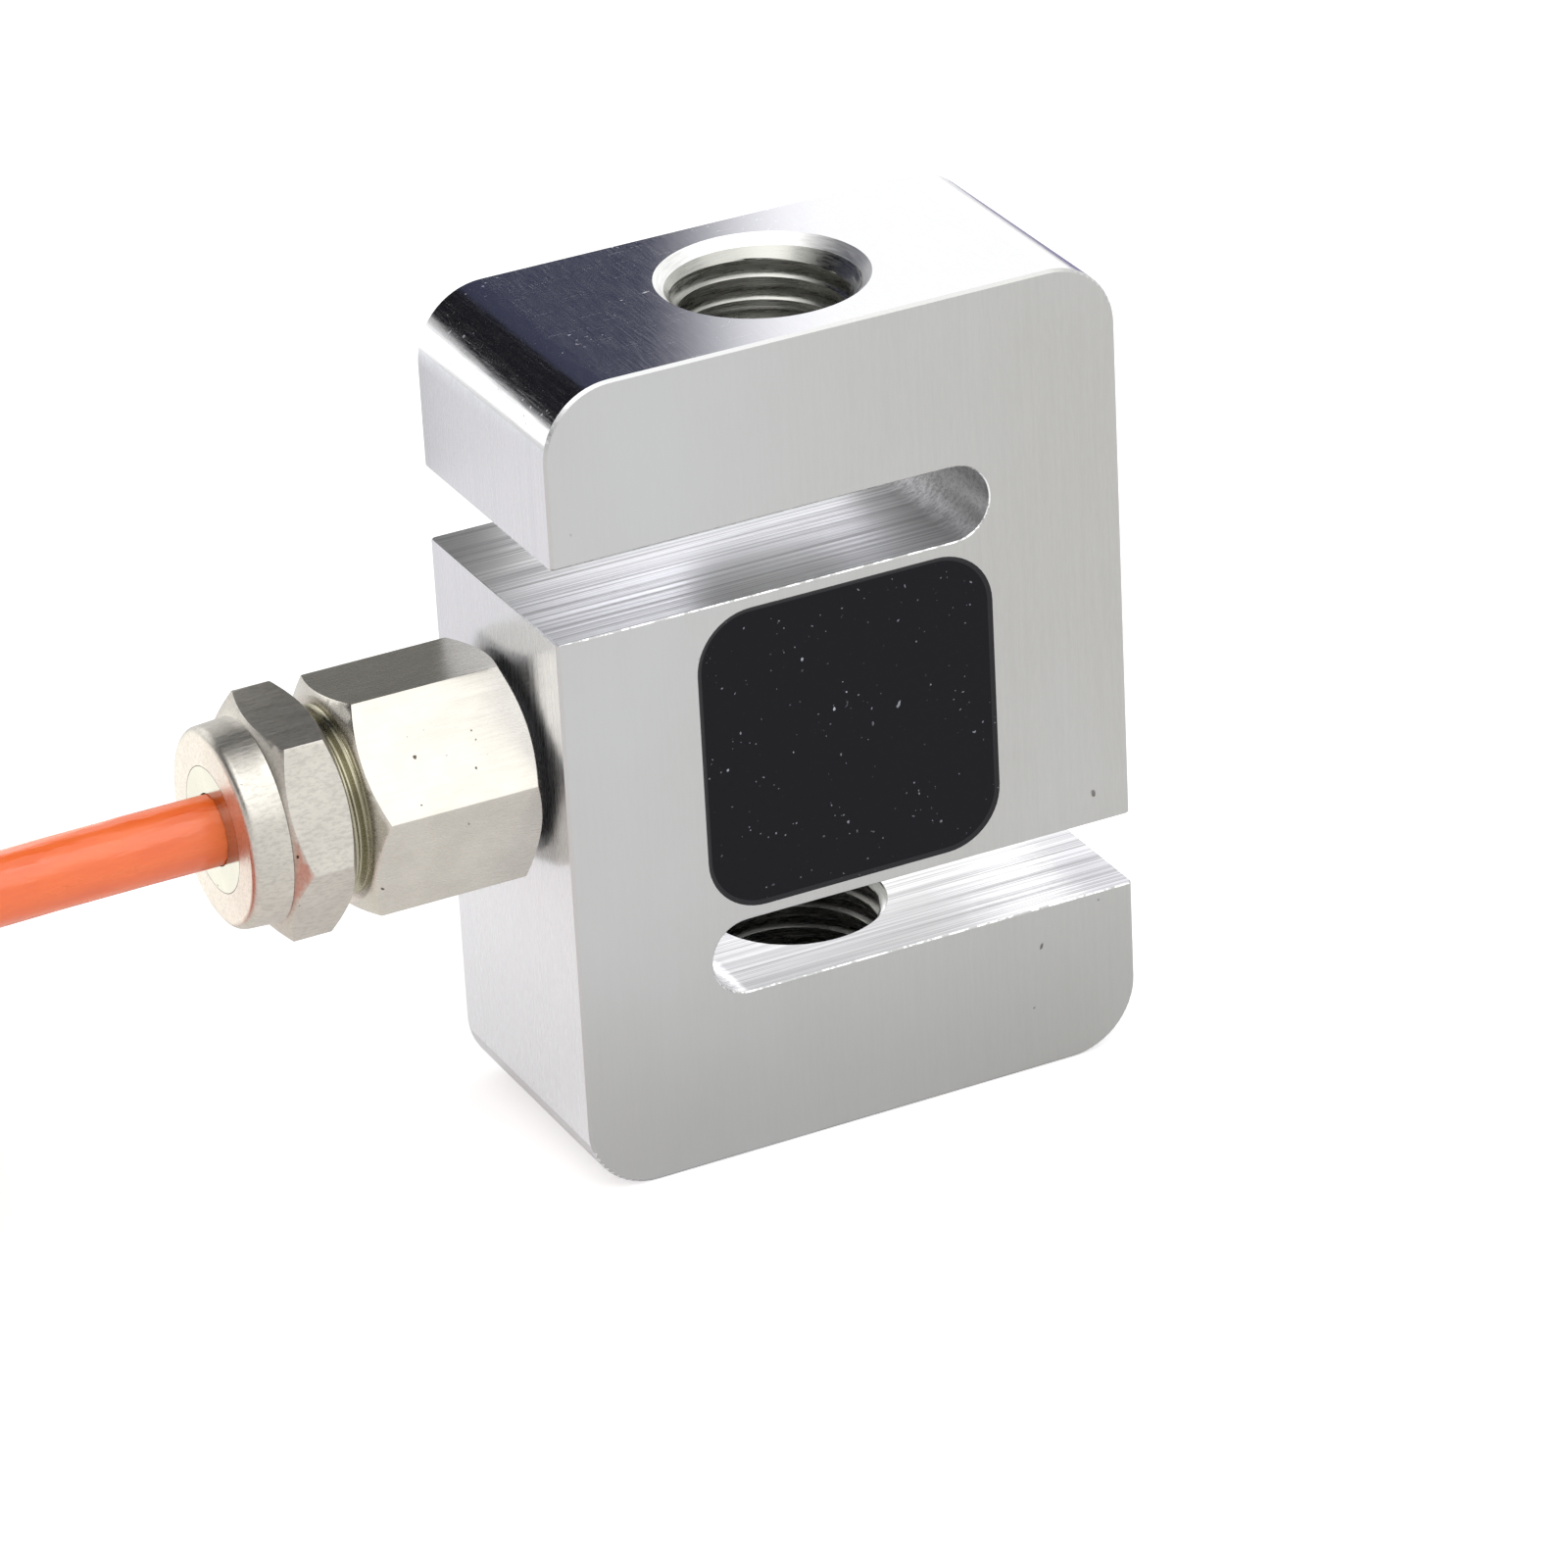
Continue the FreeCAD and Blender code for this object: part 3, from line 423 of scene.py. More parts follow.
def black_compound(name, gloss):
    """Poured compound: glossy, faintly uneven, with dust on it."""
    finish = Finish(name)
    swell = finish.noise((90.0, 90.0, 90.0), 2.0, 0.5)
    fine_dust = sparse(finish, 2600.0, 0.715, 0.745, 420.0)
    coarse_dust = sparse(finish, 1300.0, 0.765, 0.785, 90.0)
    dust = finish.maths("MAXIMUM", fine_dust * 0.5, coarse_dust)
    return finish.principled(
        Base_Color=finish.mix(dust, (0.0075, 0.0075, 0.0105), (0.5, 0.52, 0.58)),
        Roughness=finish.ramp(swell, *NOISE_SPAN, 0.16, 0.26) + dust * 0.3,
        Specular_IOR_Level=gloss, Normal=finish.bump(swell, 0.00005, 0.4))


def orange_jacket(colour):
    """Soft glossy jacket with shallow wrinkles along it."""
    finish = Finish("orange_jacket")
    wrinkles = finish.noise((140.0, 600.0, 600.0), 3.0, 0.55)
    tone = finish.mix(
        finish.ramp(wrinkles, *NOISE_SPAN), shade(colour, 0.93), shade(colour, 1.12))
    return finish.principled(
        Base_Color=tone, Roughness=finish.ramp(wrinkles, *NOISE_SPAN, 0.12, 0.28),
        Specular_IOR_Level=0.9, Subsurface_Weight=0.25, Subsurface_Radius=(0.004, 0.0012, 0.0005),
        Subsurface_Scale=0.8, Normal=finish.bump(wrinkles, 0.00025, 0.6))


def moulded(name, colour, rough):
    """Moulded or extruded plastic and rubber: a faint grain."""
    finish = Finish(name)
    grain = finish.noise((1500.0, 1500.0, 1500.0), 2.0, 0.5)
    return finish.principled(
        Base_Color=finish.mix(finish.ramp(grain, *NOISE_SPAN), shade(colour, 0.9), colour),
        Roughness=finish.ramp(grain, *NOISE_SPAN, rough, rough + 0.12),
        Normal=finish.bump(grain, 0.00001, 0.4))


def tinned_wire():
    """Twisted bright strands."""
    finish = Finish("tinned_wire")
    twist = finish.noise((900.0, 3000.0, 3000.0), 2.0, 0.5)
    rough = finish.ramp(twist, *NOISE_SPAN, 0.2, 0.4)
    return finish.metal((0.72, 0.72, 0.70), rough, finish.bump(twist, 0.00002, 0.6))


# ---------------------------------------------------------------- mesh helpers
def cad_copy(node):
    """A merged copy of a CAD node's mesh as a bmesh."""
    mesh = bmesh.new()
    mesh.from_mesh(frame["nodes"][node].data)
    bmesh.ops.remove_doubles(mesh, verts=mesh.verts, dist=0.002 * MM)
    return mesh


def mesh_data(name, mesh):
    """Turns a bmesh into mesh data and frees it."""
    data = bpy.data.meshes.new(name)
    mesh.to_mesh(data)
    mesh.free()
    return data


def add_object(name, data):
    """A new object in the scene."""
    made = bpy.data.objects.new(name, data)
    bpy.context.scene.collection.objects.link(made)
    return made


def finished(name, mesh, finishes, slot, *nodes):
    """Turns a bmesh into a piece that rides on the body and stands for CAD nodes."""
    data = mesh_data(name, mesh)
    stale = data.attributes.get("custom_normal")
    if stale:
        data.attributes.remove(stale)
    piece = add_object(name, data)
    for finish in finishes:
        data.materials.append(finish)
    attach(piece, BODY)
    if nodes:
        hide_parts(*nodes)
    return piece


def flat_shaded_planes(piece, angle=30.0):
    """Smooth curves, with planes left flat."""
    piece.data.shade_smooth()
    piece.data.set_sharp_from_angle(angle=math.radians(angle))
    weighted = piece.modifiers.new("Even normals", "WEIGHTED_NORMAL")
    weighted.keep_sharp = True


def ease_edges(mesh, is_eased, width, segments=2, finish_index=-1):
    """Cuts a small round or chamfer along the chosen edges."""
    chosen = [edge for edge in mesh.edges if len(edge.link_faces) == 2 and is_eased(edge)]
    bmesh.ops.bevel(
        mesh, geom=chosen, offset=width, offset_type="OFFSET", segments=segments, profile=0.5,
        affect="EDGES", clamp_overlap=False, material=finish_index)


def from_axis(point):
    """How far a point is from the Z axis."""
    return math.hypot(point.x, point.y)


def paint_node(node, finish):
    """Gives a CAD node that stays in view its material."""
    data = frame["nodes"][node].data
    data.materials.clear()
    data.materials.append(finish)


def thread_share(level, pitch, flank):
    """How deep a thread is at a level of its pitch, from 0 at the crest to 1 at the root."""
    crest_flat = pitch / 4
    if level <= crest_flat:
        return 0.0
    if level <= crest_flat + flank:
        return (level - crest_flat) / flank
    if level <= pitch - flank:
        return 1.0
    return (pitch - level) / flank


def screw_wall(low, high, crest, root, pitch, steps, limit, rows=14):
    """A helical thread wall about Z from low to high; limit(z, radius) runs it out at its ends."""
    mesh = bmesh.new()
    flank = abs(root - crest) * math.tan(math.radians(30))
    chain = []
    first_turn = math.floor(low / pitch) - 1
    last_turn = math.ceil(high / pitch) + 1
    for row in range((last_turn - first_turn) * rows + 1):
        share = thread_share(row % rows / rows * pitch, pitch, flank)
        radius = crest + (root - crest) * share
        chain.append(mesh.verts.new((radius, 0.0, first_turn * pitch + row * pitch / rows)))
    edges = [mesh.edges.new(pair) for pair in zip(chain, chain[1:])]
    bmesh.ops.spin(
        mesh, geom=chain + edges, cent=(0, 0, 0), axis=(0, 0, 1), dvec=(0, 0, pitch / steps),
        angle=2 * math.pi, steps=steps, use_merge=False, use_duplicate=False)
    bmesh.ops.remove_doubles(mesh, verts=mesh.verts, dist=0.001 * MM)
    for height, direction in ((low, -1.0), (high, 1.0)):
        bmesh.ops.bisect_plane(
            mesh, geom=mesh.verts[:] + mesh.edges[:] + mesh.faces[:], dist=CUT_TOLERANCE,
            plane_co=(0, 0, height), plane_no=(0, 0, direction), clear_outer=True)
    for vert in mesh.verts:
        radius = from_axis(vert.co)
        share = limit(vert.co.z, radius) / radius
        vert.co.x *= share
        vert.co.y *= share
    return mesh


def ring_edges(mesh, height, radius):
    """The open edges of a mesh that form a circle about Z."""
    def on_ring(vert):
        return abs(vert.co.z - height) < NEAR and abs(from_axis(vert.co) - radius) < 2 * NEAR

    return [edge for edge in mesh.edges if edge.is_boundary and all(map(on_ring, edge.verts))]


def join_bmesh(target, source, material_index):
    """Adds another bmesh's geometry to the target."""
    for face in source.faces:
        face.material_index = material_index
    data = mesh_data("joined", source)
    target.from_mesh(data)
    bpy.data.meshes.remove(data)


def put_thread(mesh, rims, crest, root, pitch, steps, finish_index):
    """Fills the gap between two open round rims about Z, each (z, radius), with a helical wall."""
    (low, low_radius), (high, high_radius) = rims
    edge = 0.04 * MM            # how far the wall keeps from each rim, to be bridged

    def limit(z, radius):
        for end, rim in ((low, low_radius), (high, high_radius)):
            inside = abs(z - end)
            radius = min(max(radius, rim - inside), rim - 2 * edge + inside)
        return radius

    wall = screw_wall(low + edge, high - edge, crest, root, pitch, steps, limit)
    join_bmesh(mesh, wall, finish_index)
    for height, radius, step in ((low, low_radius, edge), (high, high_radius, -edge)):
        loops = ring_edges(mesh, height, radius) + ring_edges(mesh, height + step, radius - edge)
        bridged = bmesh.ops.bridge_loops(mesh, edges=loops)
        for face in bridged["faces"]:
            face.material_index = finish_index


# ---------------------------------------------------------------- beam
# The order of the beam's finishes.
GROUND, POLISHED, SIDE, MILLED, THREAD, BURR, COUNTERSINK = range(7)
SIDE_FROM = BEAM_HIGH.x - 0.1 * MM      # further out than this is a side of the beam
MOSTLY, SQUARELY = 0.7, 0.95            # how far a face's normal looks along an axis


def beam_face_finish(face):
    """Which finish a face of the beam has, from where it lies and which way it looks."""
    centre, normal = face.calc_center_median(), face.normal
    margin = 1.0 * MM
    for low, high in OPENINGS.values():
        in_slot = low[2] - margin < centre.z < high[2] + margin
        if in_slot and abs(normal.y) < MOSTLY and abs(centre.x) < SIDE_FROM:
            return MILLED
    if abs(normal.y) > MOSTLY:
        return GROUND
    if abs(centre.x) > SIDE_FROM and abs(normal.x) > SQUARELY:
        return SIDE
    return POLISHED


def cut_thread(mesh, outer, slot_face, steel):
    """Opens one mounting hole of the beam and gives it a helical wall and a countersink."""
    low, high = sorted((outer, slot_face))

    def in_hole(face):
        centre = face.calc_center_median()
        return low < centre.z < high and from_axis(centre) < MOUTH

    bmesh.ops.delete(mesh, geom=[face for face in mesh.faces if in_hole(face)], context="FACES")
    rims = sorted(((outer, MOUTH), (slot_face, RELIEF)))
    root = BORE + steel.thread_depth
    put_thread(mesh, rims, BORE, root, steel.thread_pitch, steel.thread_steps, THREAD)
    # The countersink runs in at 45 degrees, so it is as deep as its mouth is wider than the roots.
    outward = math.copysign(1.0, outer - slot_face)
    seam = outer - outward * (MOUTH - BORE - steel.thread_depth)
    wall = [face for face in mesh.faces if face.material_index == THREAD]
    around = {part for face in wall for part in (*face.edges, *face.verts)}
    bmesh.ops.bisect_plane(
        mesh, geom=wall + list(around), dist=CUT_TOLERANCE, plane_co=(0, 0, seam),
        plane_no=(0, 0, 1))
    for face in mesh.faces:
        if face.material_index == THREAD and (face.calc_center_median().z - seam) * outward > 0:
            face.material_index = COUNTERSINK


def is_slot_edge(edge):
    """An edge between the ground front or rear and a slot's wall."""
    return {face.material_index for face in edge.link_faces} == {GROUND, MILLED}


class OBJECT_OT_load_cell_beam(bpy.types.Operator):
    """Make the steel beam with its cut threads"""

    bl_idname = "object.load_cell_beam"
    bl_label = "Steel beam"

    def execute(self, context):
        steel = settings("steel")
        mesh = cad_copy("beam")
        for face in mesh.faces:
            face.material_index = beam_face_finish(face)
        slot_top = OPENINGS["upper_slot"][1][2] + OPENING_CLEAR
        slot_foot = OPENINGS["lower_slot"][0][2] - OPENING_CLEAR
        cut_thread(mesh, BEAM_HIGH.z, slot_top, steel)
        cut_thread(mesh, BEAM_LOW.z, slot_foot, steel)
        bmesh.ops.recalc_face_normals(mesh, faces=mesh.faces)
        ease_edges(mesh, is_slot_edge, width=0.1 * MM, segments=1, finish_index=BURR)
        finishes = [
            ground_steel(steel.ground_colour), polished_steel(steel.polished_colour),
            side_steel(steel.side_colour), milled_steel(steel.milled_colour),
            turned_steel("thread_steel", steel.thread_colour, 0.22, 0.36), burr_steel(),
            turned_steel("countersink_steel", steel.countersink_colour, 0.4, 0.5)]
        flat_shaded_planes(finished("steel_beam", mesh, finishes, "beam_steel", "beam"))
        return {"FINISHED"}


# ---------------------------------------------------------------- pockets
def rounded_outline(half_width, half_height, corner, steps=14):
    """Points round a rectangle with round corners, about its middle."""
    points = []
    for turn, (across, up) in enumerate(((1, 1), (-1, 1), (-1, -1), (1, -1))):
        for step in range(steps + 1):
            angle = math.radians(90.0 * (turn + step / steps))
            points.append((across * (half_width - corner) + corner * math.cos(angle),
                           up * (half_height - corner) + corner * math.sin(angle)))
    return points


def make_meniscus(side, compound):
    """The compound's edge, drawn up the pocket's wall, as a closed ring."""
    low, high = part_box(f"{side}_potting")
    way = 1.0 if side == "rear" else -1.0
    surface = abs(high.y if side == "rear" else low.y)
    foot, lip = surface - NEAR, BEAM_HIGH.y - NEAR - surface
    width, thickness = 0.4 * MM, 0.004 * MM
    shares = (0.0, 0.25, 0.5, 0.75, 1.0)
    heights = [surface + lip * (1.0 - share) ** 2 + thickness * (1.0 - share) for share in shares]
    middle, half_height = (low.z + high.z) / 2, (high.z - low.z) / 2
    mesh = bmesh.new()
    rings = []
    for share, height in zip((*shares, 1.0, 0.0), (*heights, foot, foot)):
        inset = width * share
        outline = rounded_outline(high.x - inset, half_height - inset, POCKET_CORNER - inset)
        rings.append([mesh.verts.new((x, way * height, middle + z)) for x, z in outline])
    for outer, inner in zip(rings, rings[1:] + rings[:1]):
        for corners in zip(outer, outer[1:] + outer[:1], inner[1:] + inner[:1], inner):
            mesh.faces.new(corners if way > 0 else corners[::-1])
    bmesh.ops.recalc_face_normals(mesh, faces=mesh.faces)
    flat_shaded_planes(finished(f"{side}_meniscus", mesh, [compound], "potting"))


class OBJECT_OT_load_cell_pockets(bpy.types.Operator):
    """Finish the potting and the pieces that it covers"""

    bl_idname = "object.load_cell_pockets"
    bl_label = "Gauge pockets"

    def execute(self, context):
        compound = black_compound("black_compound", gloss=0.13)
        edge = black_compound("compound_edge", gloss=0.35)
        foil = moulded("gauge_film", (0.55, 0.34, 0.10), rough=0.3)
        wire = tinned_wire()
        covered = {
            "inner_gauge": foil,
            "outer_gauge": foil,
            "terminal_board": moulded("board_laminate", (0.10, 0.28, 0.12), rough=0.35),
            "trim_resistor": moulded("resistor_ceramic", (0.05, 0.05, 0.05), rough=0.4),
            "gauge_leads": wire,
        }
        for side in ("front", "rear"):
            paint_node(f"{side}_potting", compound)
            make_meniscus(side, edge)
            for node, finish in covered.items():
                paint_node(f"{side}_{node}", finish)
        paint_node("link_wires", wire)
        return {"FINISHED"}


# ---------------------------------------------------------------- gland
COLLAR = 1                      # the thread has the second of the gland body's finishes


def is_hex_edge(edge):
    """A sharp edge outside the gland's outer thread."""
    radii = [math.hypot(vert.co.y, vert.co.z - GLAND_AXIS.z) for vert in edge.verts]
    return min(radii) > HEXAGON_FROM and edge.calc_face_angle(0.0) > math.radians(25)


def threaded_body(gland):
    """The gland's body as a bmesh, its outer thread cut as a helix."""
    mesh = cad_copy("gland_body")
    upright = Matrix.Rotation(math.radians(-90), 4, "Y") @ Matrix.Translation(-GLAND_AXIS)
    bmesh.ops.transform(mesh, matrix=upright, verts=mesh.verts)

    def on_crest(vert):
        return abs(from_axis(vert.co) - COLLAR_CREST) < 2 * NEAR

    def on_thread(face):
        in_place = face.calc_center_median().z < COLLAR_START and abs(face.normal.z) < 0.1
        return in_place and all(map(on_crest, face.verts))

    plain = [face for face in mesh.faces if on_thread(face)]
    heights = [vert.co.z for face in plain for vert in face.verts]
    low, high = min(heights), max(heights)
    bmesh.ops.delete(mesh, geom=plain, context="FACES")
    rims = ((low, COLLAR_CREST), (high, COLLAR_CREST))
    root = COLLAR_CREST - gland.thread_depth
    put_thread(mesh, rims, COLLAR_CREST, root, gland.thread_pitch, gland.thread_steps, COLLAR)
    bmesh.ops.recalc_face_normals(mesh, faces=mesh.faces)
    bmesh.ops.transform(mesh, matrix=upright.inverted(), verts=mesh.verts)
    return mesh


def eased_piece(node, name, mesh, finishes):
    """A piece of the gland with small rounds along its outer edges."""
    ease_edges(mesh, is_hex_edge, width=0.07 * MM)
    flat_shaded_planes(finished(name, mesh, finishes, "nickel_plate", node), angle=25.0)


class OBJECT_OT_load_cell_gland(bpy.types.Operator):
    """Finish the cable gland"""

    bl_idname = "object.load_cell_gland"
    bl_label = "Cable gland"

    def execute(self, context):
        gland = settings("gland")
        body_plate = nickel_plate("nickel_body", gland.nickel_colour, 0.22, 0.32)
        collar_plate = nickel_plate("olive_thread", gland.collar_colour, 0.2, 0.3)
        nut_plate = nickel_plate("nickel_nut", gland.nickel_colour, 0.32, 0.42, grain=0.45)
        sleeve_plate = nickel_plate("nickel_sleeve", gland.sleeve_colour, 0.10, 0.2)
        eased_piece(
            "gland_body", "nickel_gland_body", threaded_body(gland), [body_plate, collar_plate])
        eased_piece("gland_dome_nut", "nickel_dome_nut", cad_copy("gland_dome_nut"), [nut_plate])
        paint_node("gland_thrust_sleeve", sleeve_plate)
        rubber = moulded("gland_rubber", (0.03, 0.03, 0.03), rough=0.55)
        paint_node("gland_gasket", rubber)
        paint_node("gland_seal", rubber)
        return {"FINISHED"}


# ---------------------------------------------------------------- cable
COIL_CENTRE = Vector((-109.0, 27.0, 0.0)) * MM
# From the end of the jacket in the beam to the top of the coil, in millimetres.
LEAD_POINTS = [(-24.0, 0.0, 36.0), (-44.0, 0.0, 36.0), (-72.0, 0.0, 36.0), (-98.0, -0.8, 34.8)]
# The last stretch, behind the coil, in millimetres.
TAIL_POINTS = [(-106.0, 63.0, 4.0), (-98.0, 63.0, 4.0), (-89.0, 63.0, 4.0)]
# How the lead comes down on the turns: (degrees wound, mm from the middle of the coil, mm up).
LANDING = [(9.0, 28.9, 34.0), (32.0, 30.2, 34.0), (55.0, 29.6, 34.4), (78.0, 27.4, 35.4),
           (101.0, 25.2, 35.2), (124.0, 24.1, 33.0), (147.0, 24.0, 30.0)]
# Each place of the winding, from the top down: (turns outwards of the middle, row from the floor).
ROWS = ((4, 1), (3, -1), (2, 1), (1, -1), (0, 1))
PLACES = [(column * way, row) for row, way in ROWS for column in (-1, 0, 1)]
TURN_IN_PLACE = 348.0           # degrees that the cable stays in one place of the winding
CROSSING = 80.0                 # degrees that it takes to cross to the next
COIL_STEP = 23.0                # degrees between the points of a turn
COIL_FOOT = 1.0 * MM            # how far above the floor the lowest turns lie


def eased(share):
    """A share from 0 to 1 that starts and ends gently."""
    share = min(max(share, 0.0), 1.0)
    return share * share * (3.0 - 2.0 * share)


def coil_points(cable):
    """The points of the tied turns, clockwise seen from above, from the top row to the floor."""
    # A turn of the spline has this share of the radius that its points have.
    bulge = 0.75 + 0.25 * math.cos(math.radians(COIL_STEP))
    course = [(wound, radius * MM, height * MM) for wound, radius, height in LANDING]
    first = LANDING[-1][0] + COIL_STEP
    total = TURN_IN_PLACE * len(PLACES)
    count = round((total - first) / COIL_STEP)
    for index in range(count + 1):
        wound = first + (total - first) * index / count
        column, row = PLACES[0]
        for place, (before, after) in enumerate(zip(PLACES, PLACES[1:]), start=1):
            share = eased((wound - place * TURN_IN_PLACE) / CROSSING)
            column += (after[0] - before[0]) * share
            row += (after[1] - before[1]) * share
        radius = cable.coil_radius + column * cable.diameter
        course.append((wound, radius, COIL_FOOT + (row + 0.5) * cable.diameter))
    points = []
    for wound, radius, height in course:
        angle = math.radians(-90.0 - wound)
        reach = radius / bulge
        x, y = COIL_CENTRE.x + reach * math.cos(angle), COIL_CENTRE.y + reach * math.sin(angle)
        points.append((x, y, height))
    return points


def cable_curve(cable):
    """The whole cable as one spline."""
    lead = [tuple(axis * MM for axis in point) for point in LEAD_POINTS]
    tail = [tuple(axis * MM for axis in point) for point in TAIL_POINTS]
    route = lead + coil_points(cable)[:-1] + tail
    curve = bpy.data.curves.new("orange_cable", "CURVE")
    curve.dimensions = "3D"
    curve.bevel_depth = cable.diameter / 2
    curve.bevel_resolution = 5
    curve.resolution_u = 4
    curve.use_fill_caps = True
    spline = curve.splines.new("NURBS")
    spline.points.add(len(route) - 1)
    for point, place in zip(spline.points, route):
        point.co = (*place, 1.0)
    spline.order_u = 3
    spline.use_endpoint_u = True
    return curve


CORE_COLOURS = {
    "red": (0.62, 0.02, 0.02),
    "black": (0.02, 0.02, 0.02),
    "green": (0.02, 0.3, 0.08),
    "white": (0.8, 0.8, 0.78),
}


class OBJECT_OT_load_cell_cable(bpy.types.Operator):
    """Lay the cable, its coil, its ties and its stripped end"""

    bl_idname = "object.load_cell_cable"
    bl_label = "Cable"

    def execute(self, context):
        cable = settings("cable")
        curve = cable_curve(cable)
        piece = add_object("orange_cable", curve)
        curve.materials.append(orange_jacket(cable.jacket_colour))
        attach(piece, BODY)
        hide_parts("cable_lead", "cable_coil")

        nylon = moulded("tie_nylon", (0.03, 0.03, 0.032), rough=0.4)
        for side in ("left", "right"):
            paint_node(f"{side}_coil_tie", nylon)
        for colour, tone in CORE_COLOURS.items():
            finish = moulded(f"{colour}_core", tone, rough=0.3)
            paint_node(f"stripped_{colour}_core", finish)
            paint_node(f"inner_{colour}_core", finish)
        paint_node("tinned_tips", tinned_wire())
        return {"FINISHED"}


# ---------------------------------------------------------------- stage
# Where the camera stands in millimetres, the way it looks and the way that is up in its view.
CAMERA_PLACE = (-244.46, -508.70, 314.33)
CAMERA_AHEAD, CAMERA_ABOVE = (0.3851, 0.803, -0.4549), (0.2448, 0.3863, 0.8893)
# Where the softbox hangs and what it lights, in millimetres, and its side in metres.
LAMP_PLACE, LAMP_TARGET, LAMP_SIDE = (-150.0, -250.0, 600.0), (0.0, 0.0, 36.0), 0.5
WHITE, NEAR_BLACK = (1.0, 1.0, 1.0), (0.014, 0.014, 0.018)


def stage_object(name, mesh, material):
    """A mesh that belongs to the stage."""
    made = add_object(name, mesh_data(name, mesh))
    made.data.materials.append(material)
    return made


def matt(finish, tone):
    """A dull grey."""
    return finish.make("ShaderNodeBsdfDiffuse", {"Color": (tone, tone, tone, 1.0)})


def seen_white(finish, shader, glow, gloss_glow):
    """Adds white light that only the camera and gloss see."""
    straight, gloss = finish.seen_rays()
    strength = straight * glow + gloss * gloss_glow
    light = finish.make("ShaderNodeEmission", {"Color": rgba(WHITE), "Strength": strength})
    return finish.make("ShaderNodeAddShader", {0: shader, 1: light})


def make_floor(stage):
    """The floor, and a darker disc on it, painted shade that shows through the bottom hole."""
    mesh = bmesh.new()
    bmesh.ops.create_grid(mesh, x_segments=1, y_segments=1, size=stage.floor_size / 2)
    bmesh.ops.translate(mesh, verts=mesh.verts, vec=(0, 0, -2 * NEAR))
    finish = Finish("pale_floor")
    pale = matt(finish, stage.floor_tone)
    lit = seen_white(finish, pale, stage.floor_glow, stage.gloss_glow)
    stage_object("floor", mesh, finish.surface(lit))
    mesh = bmesh.new()
    bmesh.ops.create_circle(mesh, cap_ends=True, segments=48, radius=10.0 * MM)
    bmesh.ops.translate(mesh, verts=mesh.verts, vec=(0, 0, -NEAR))
    # Painted shade: the disc takes a darker tone than the floor and adds no glow.
    finish = Finish("shaded_floor")
    dark = matt(finish, stage.floor_tone * 0.4)
    stage_object("floor_under_the_hole", mesh, finish.surface(dark))


def cards(stage):
    """Each card as make_card takes it; its centre, width and height are in millimetres."""
    forward, glow = (0, -1, 0), stage.card_glow
    return (
        ("blue_card_behind", (2.0, 40.0, 139.5), forward, (44.0, 121.0),
         stage.card_tone, 1.0, (7.0, 24.0, (1.4, 1.4, 1.45))),
        ("dark_card_behind", (-90.0, 40.0, 139.5), forward, (140.0, 121.0),
         NEAR_BLACK, 1.0, None),
        ("grey_card_behind", (-21.0, 40.0, 60.5), forward, (30.0, 37.0),
         (0.21, 0.21, 0.20), 1.0, None),
        ("violet_card_right", (61.5, 30.0, 55.5), forward, (57.0, 21.0),
         (0.25, 0.22, 0.38), 1.0, None),
        ("white_card_behind", (50.0, 60.0, 144.0), forward, (140.0, 152.0), WHITE, 1.45, None),
        ("white_card_left", (-72.5, 60.0, 68.0), forward, (55.0, 24.0), WHITE, glow, None),
        ("white_card_low", (22.0, 60.0, 27.0), forward, (28.0, 22.0),
         (0.93, 0.94, 1.0), 2.6 * glow, None),
        ("white_card_foot", (33.0, 30.0, 7.25), forward, (58.0, 13.5),
         (2.9, 2.85, 2.7), 1.0, (33.0, 36.0, (9.0, 9.0, 9.0))),
        ("white_card_gland", (-63.5, 20.0, 26.0), forward, (21.0, 36.0),
         (0.98, 0.97, 0.93), glow, None),
        ("white_card_floor", (-58.0, 8.0, 1.0), (0, 0, 1), (22.0, 30.0),
         (0.95, 0.93, 0.88), 1.0, None),
        ("dark_card_left", (-200.0, 90.0, 138.0), (1, 0, 0), (420.0, 105.0),
         NEAR_BLACK, 1.0, None),
        ("white_card_right", (49.5, 60.0, 49.0), forward, (33.0, 22.0), WHITE, glow, None),
        ("white_card_above", (30.0, -118.0, 188.0), (-0.2, 0.5, -0.8), (230.0, 140.0),
         WHITE, glow, None),
    )


def make_card(name, centre, facing, size, tone, strength, fade):
    """A card that only gloss sees; fade is (from x, to x, the colour it turns to)."""
    mesh = bmesh.new()
    bmesh.ops.create_grid(mesh, x_segments=1, y_segments=1, size=0.5)
    place = Matrix.Translation(Vector(centre) * MM)
    turn = Vector(facing).to_track_quat("Z", "Y").to_matrix().to_4x4()
    stretch = Matrix.Diagonal(Vector((*size, 1.0)) * MM).to_4x4()
    bmesh.ops.transform(mesh, matrix=place @ turn @ stretch, verts=mesh.verts)
    finish = Finish(name)
    colour = rgba(tone)
    if fade:
        start, end, other = fade
        colour = finish.mix(finish.ramp(finish.along("X"), start * MM, end * MM), tone, other)
    glow = finish.make("ShaderNodeEmission", {"Color": colour, "Strength": strength})
    card = stage_object(name, mesh, finish.surface(glow))
    card.visible_camera = card.visible_diffuse = False
    card.visible_shadow = card.visible_transmission = False


def make_world(stage):
    """White to the camera and gloss, and a softer light on everything else."""
    world = bpy.data.worlds.new("studio")
    bpy.context.scene.world = world
    sky = Nodes(world)
    seen = sky.maths("MAXIMUM", *sky.seen_rays())
    strength = sky.make(
        "ShaderNodeMapRange", {"Value": seen, "To Min": stage.sky_light, "To Max": 1.0})
    light = sky.make("ShaderNodeBackground", {"Color": rgba(WHITE), "Strength": strength})
    sky.feed(sky.node("ShaderNodeOutputWorld"), {"Surface": light})


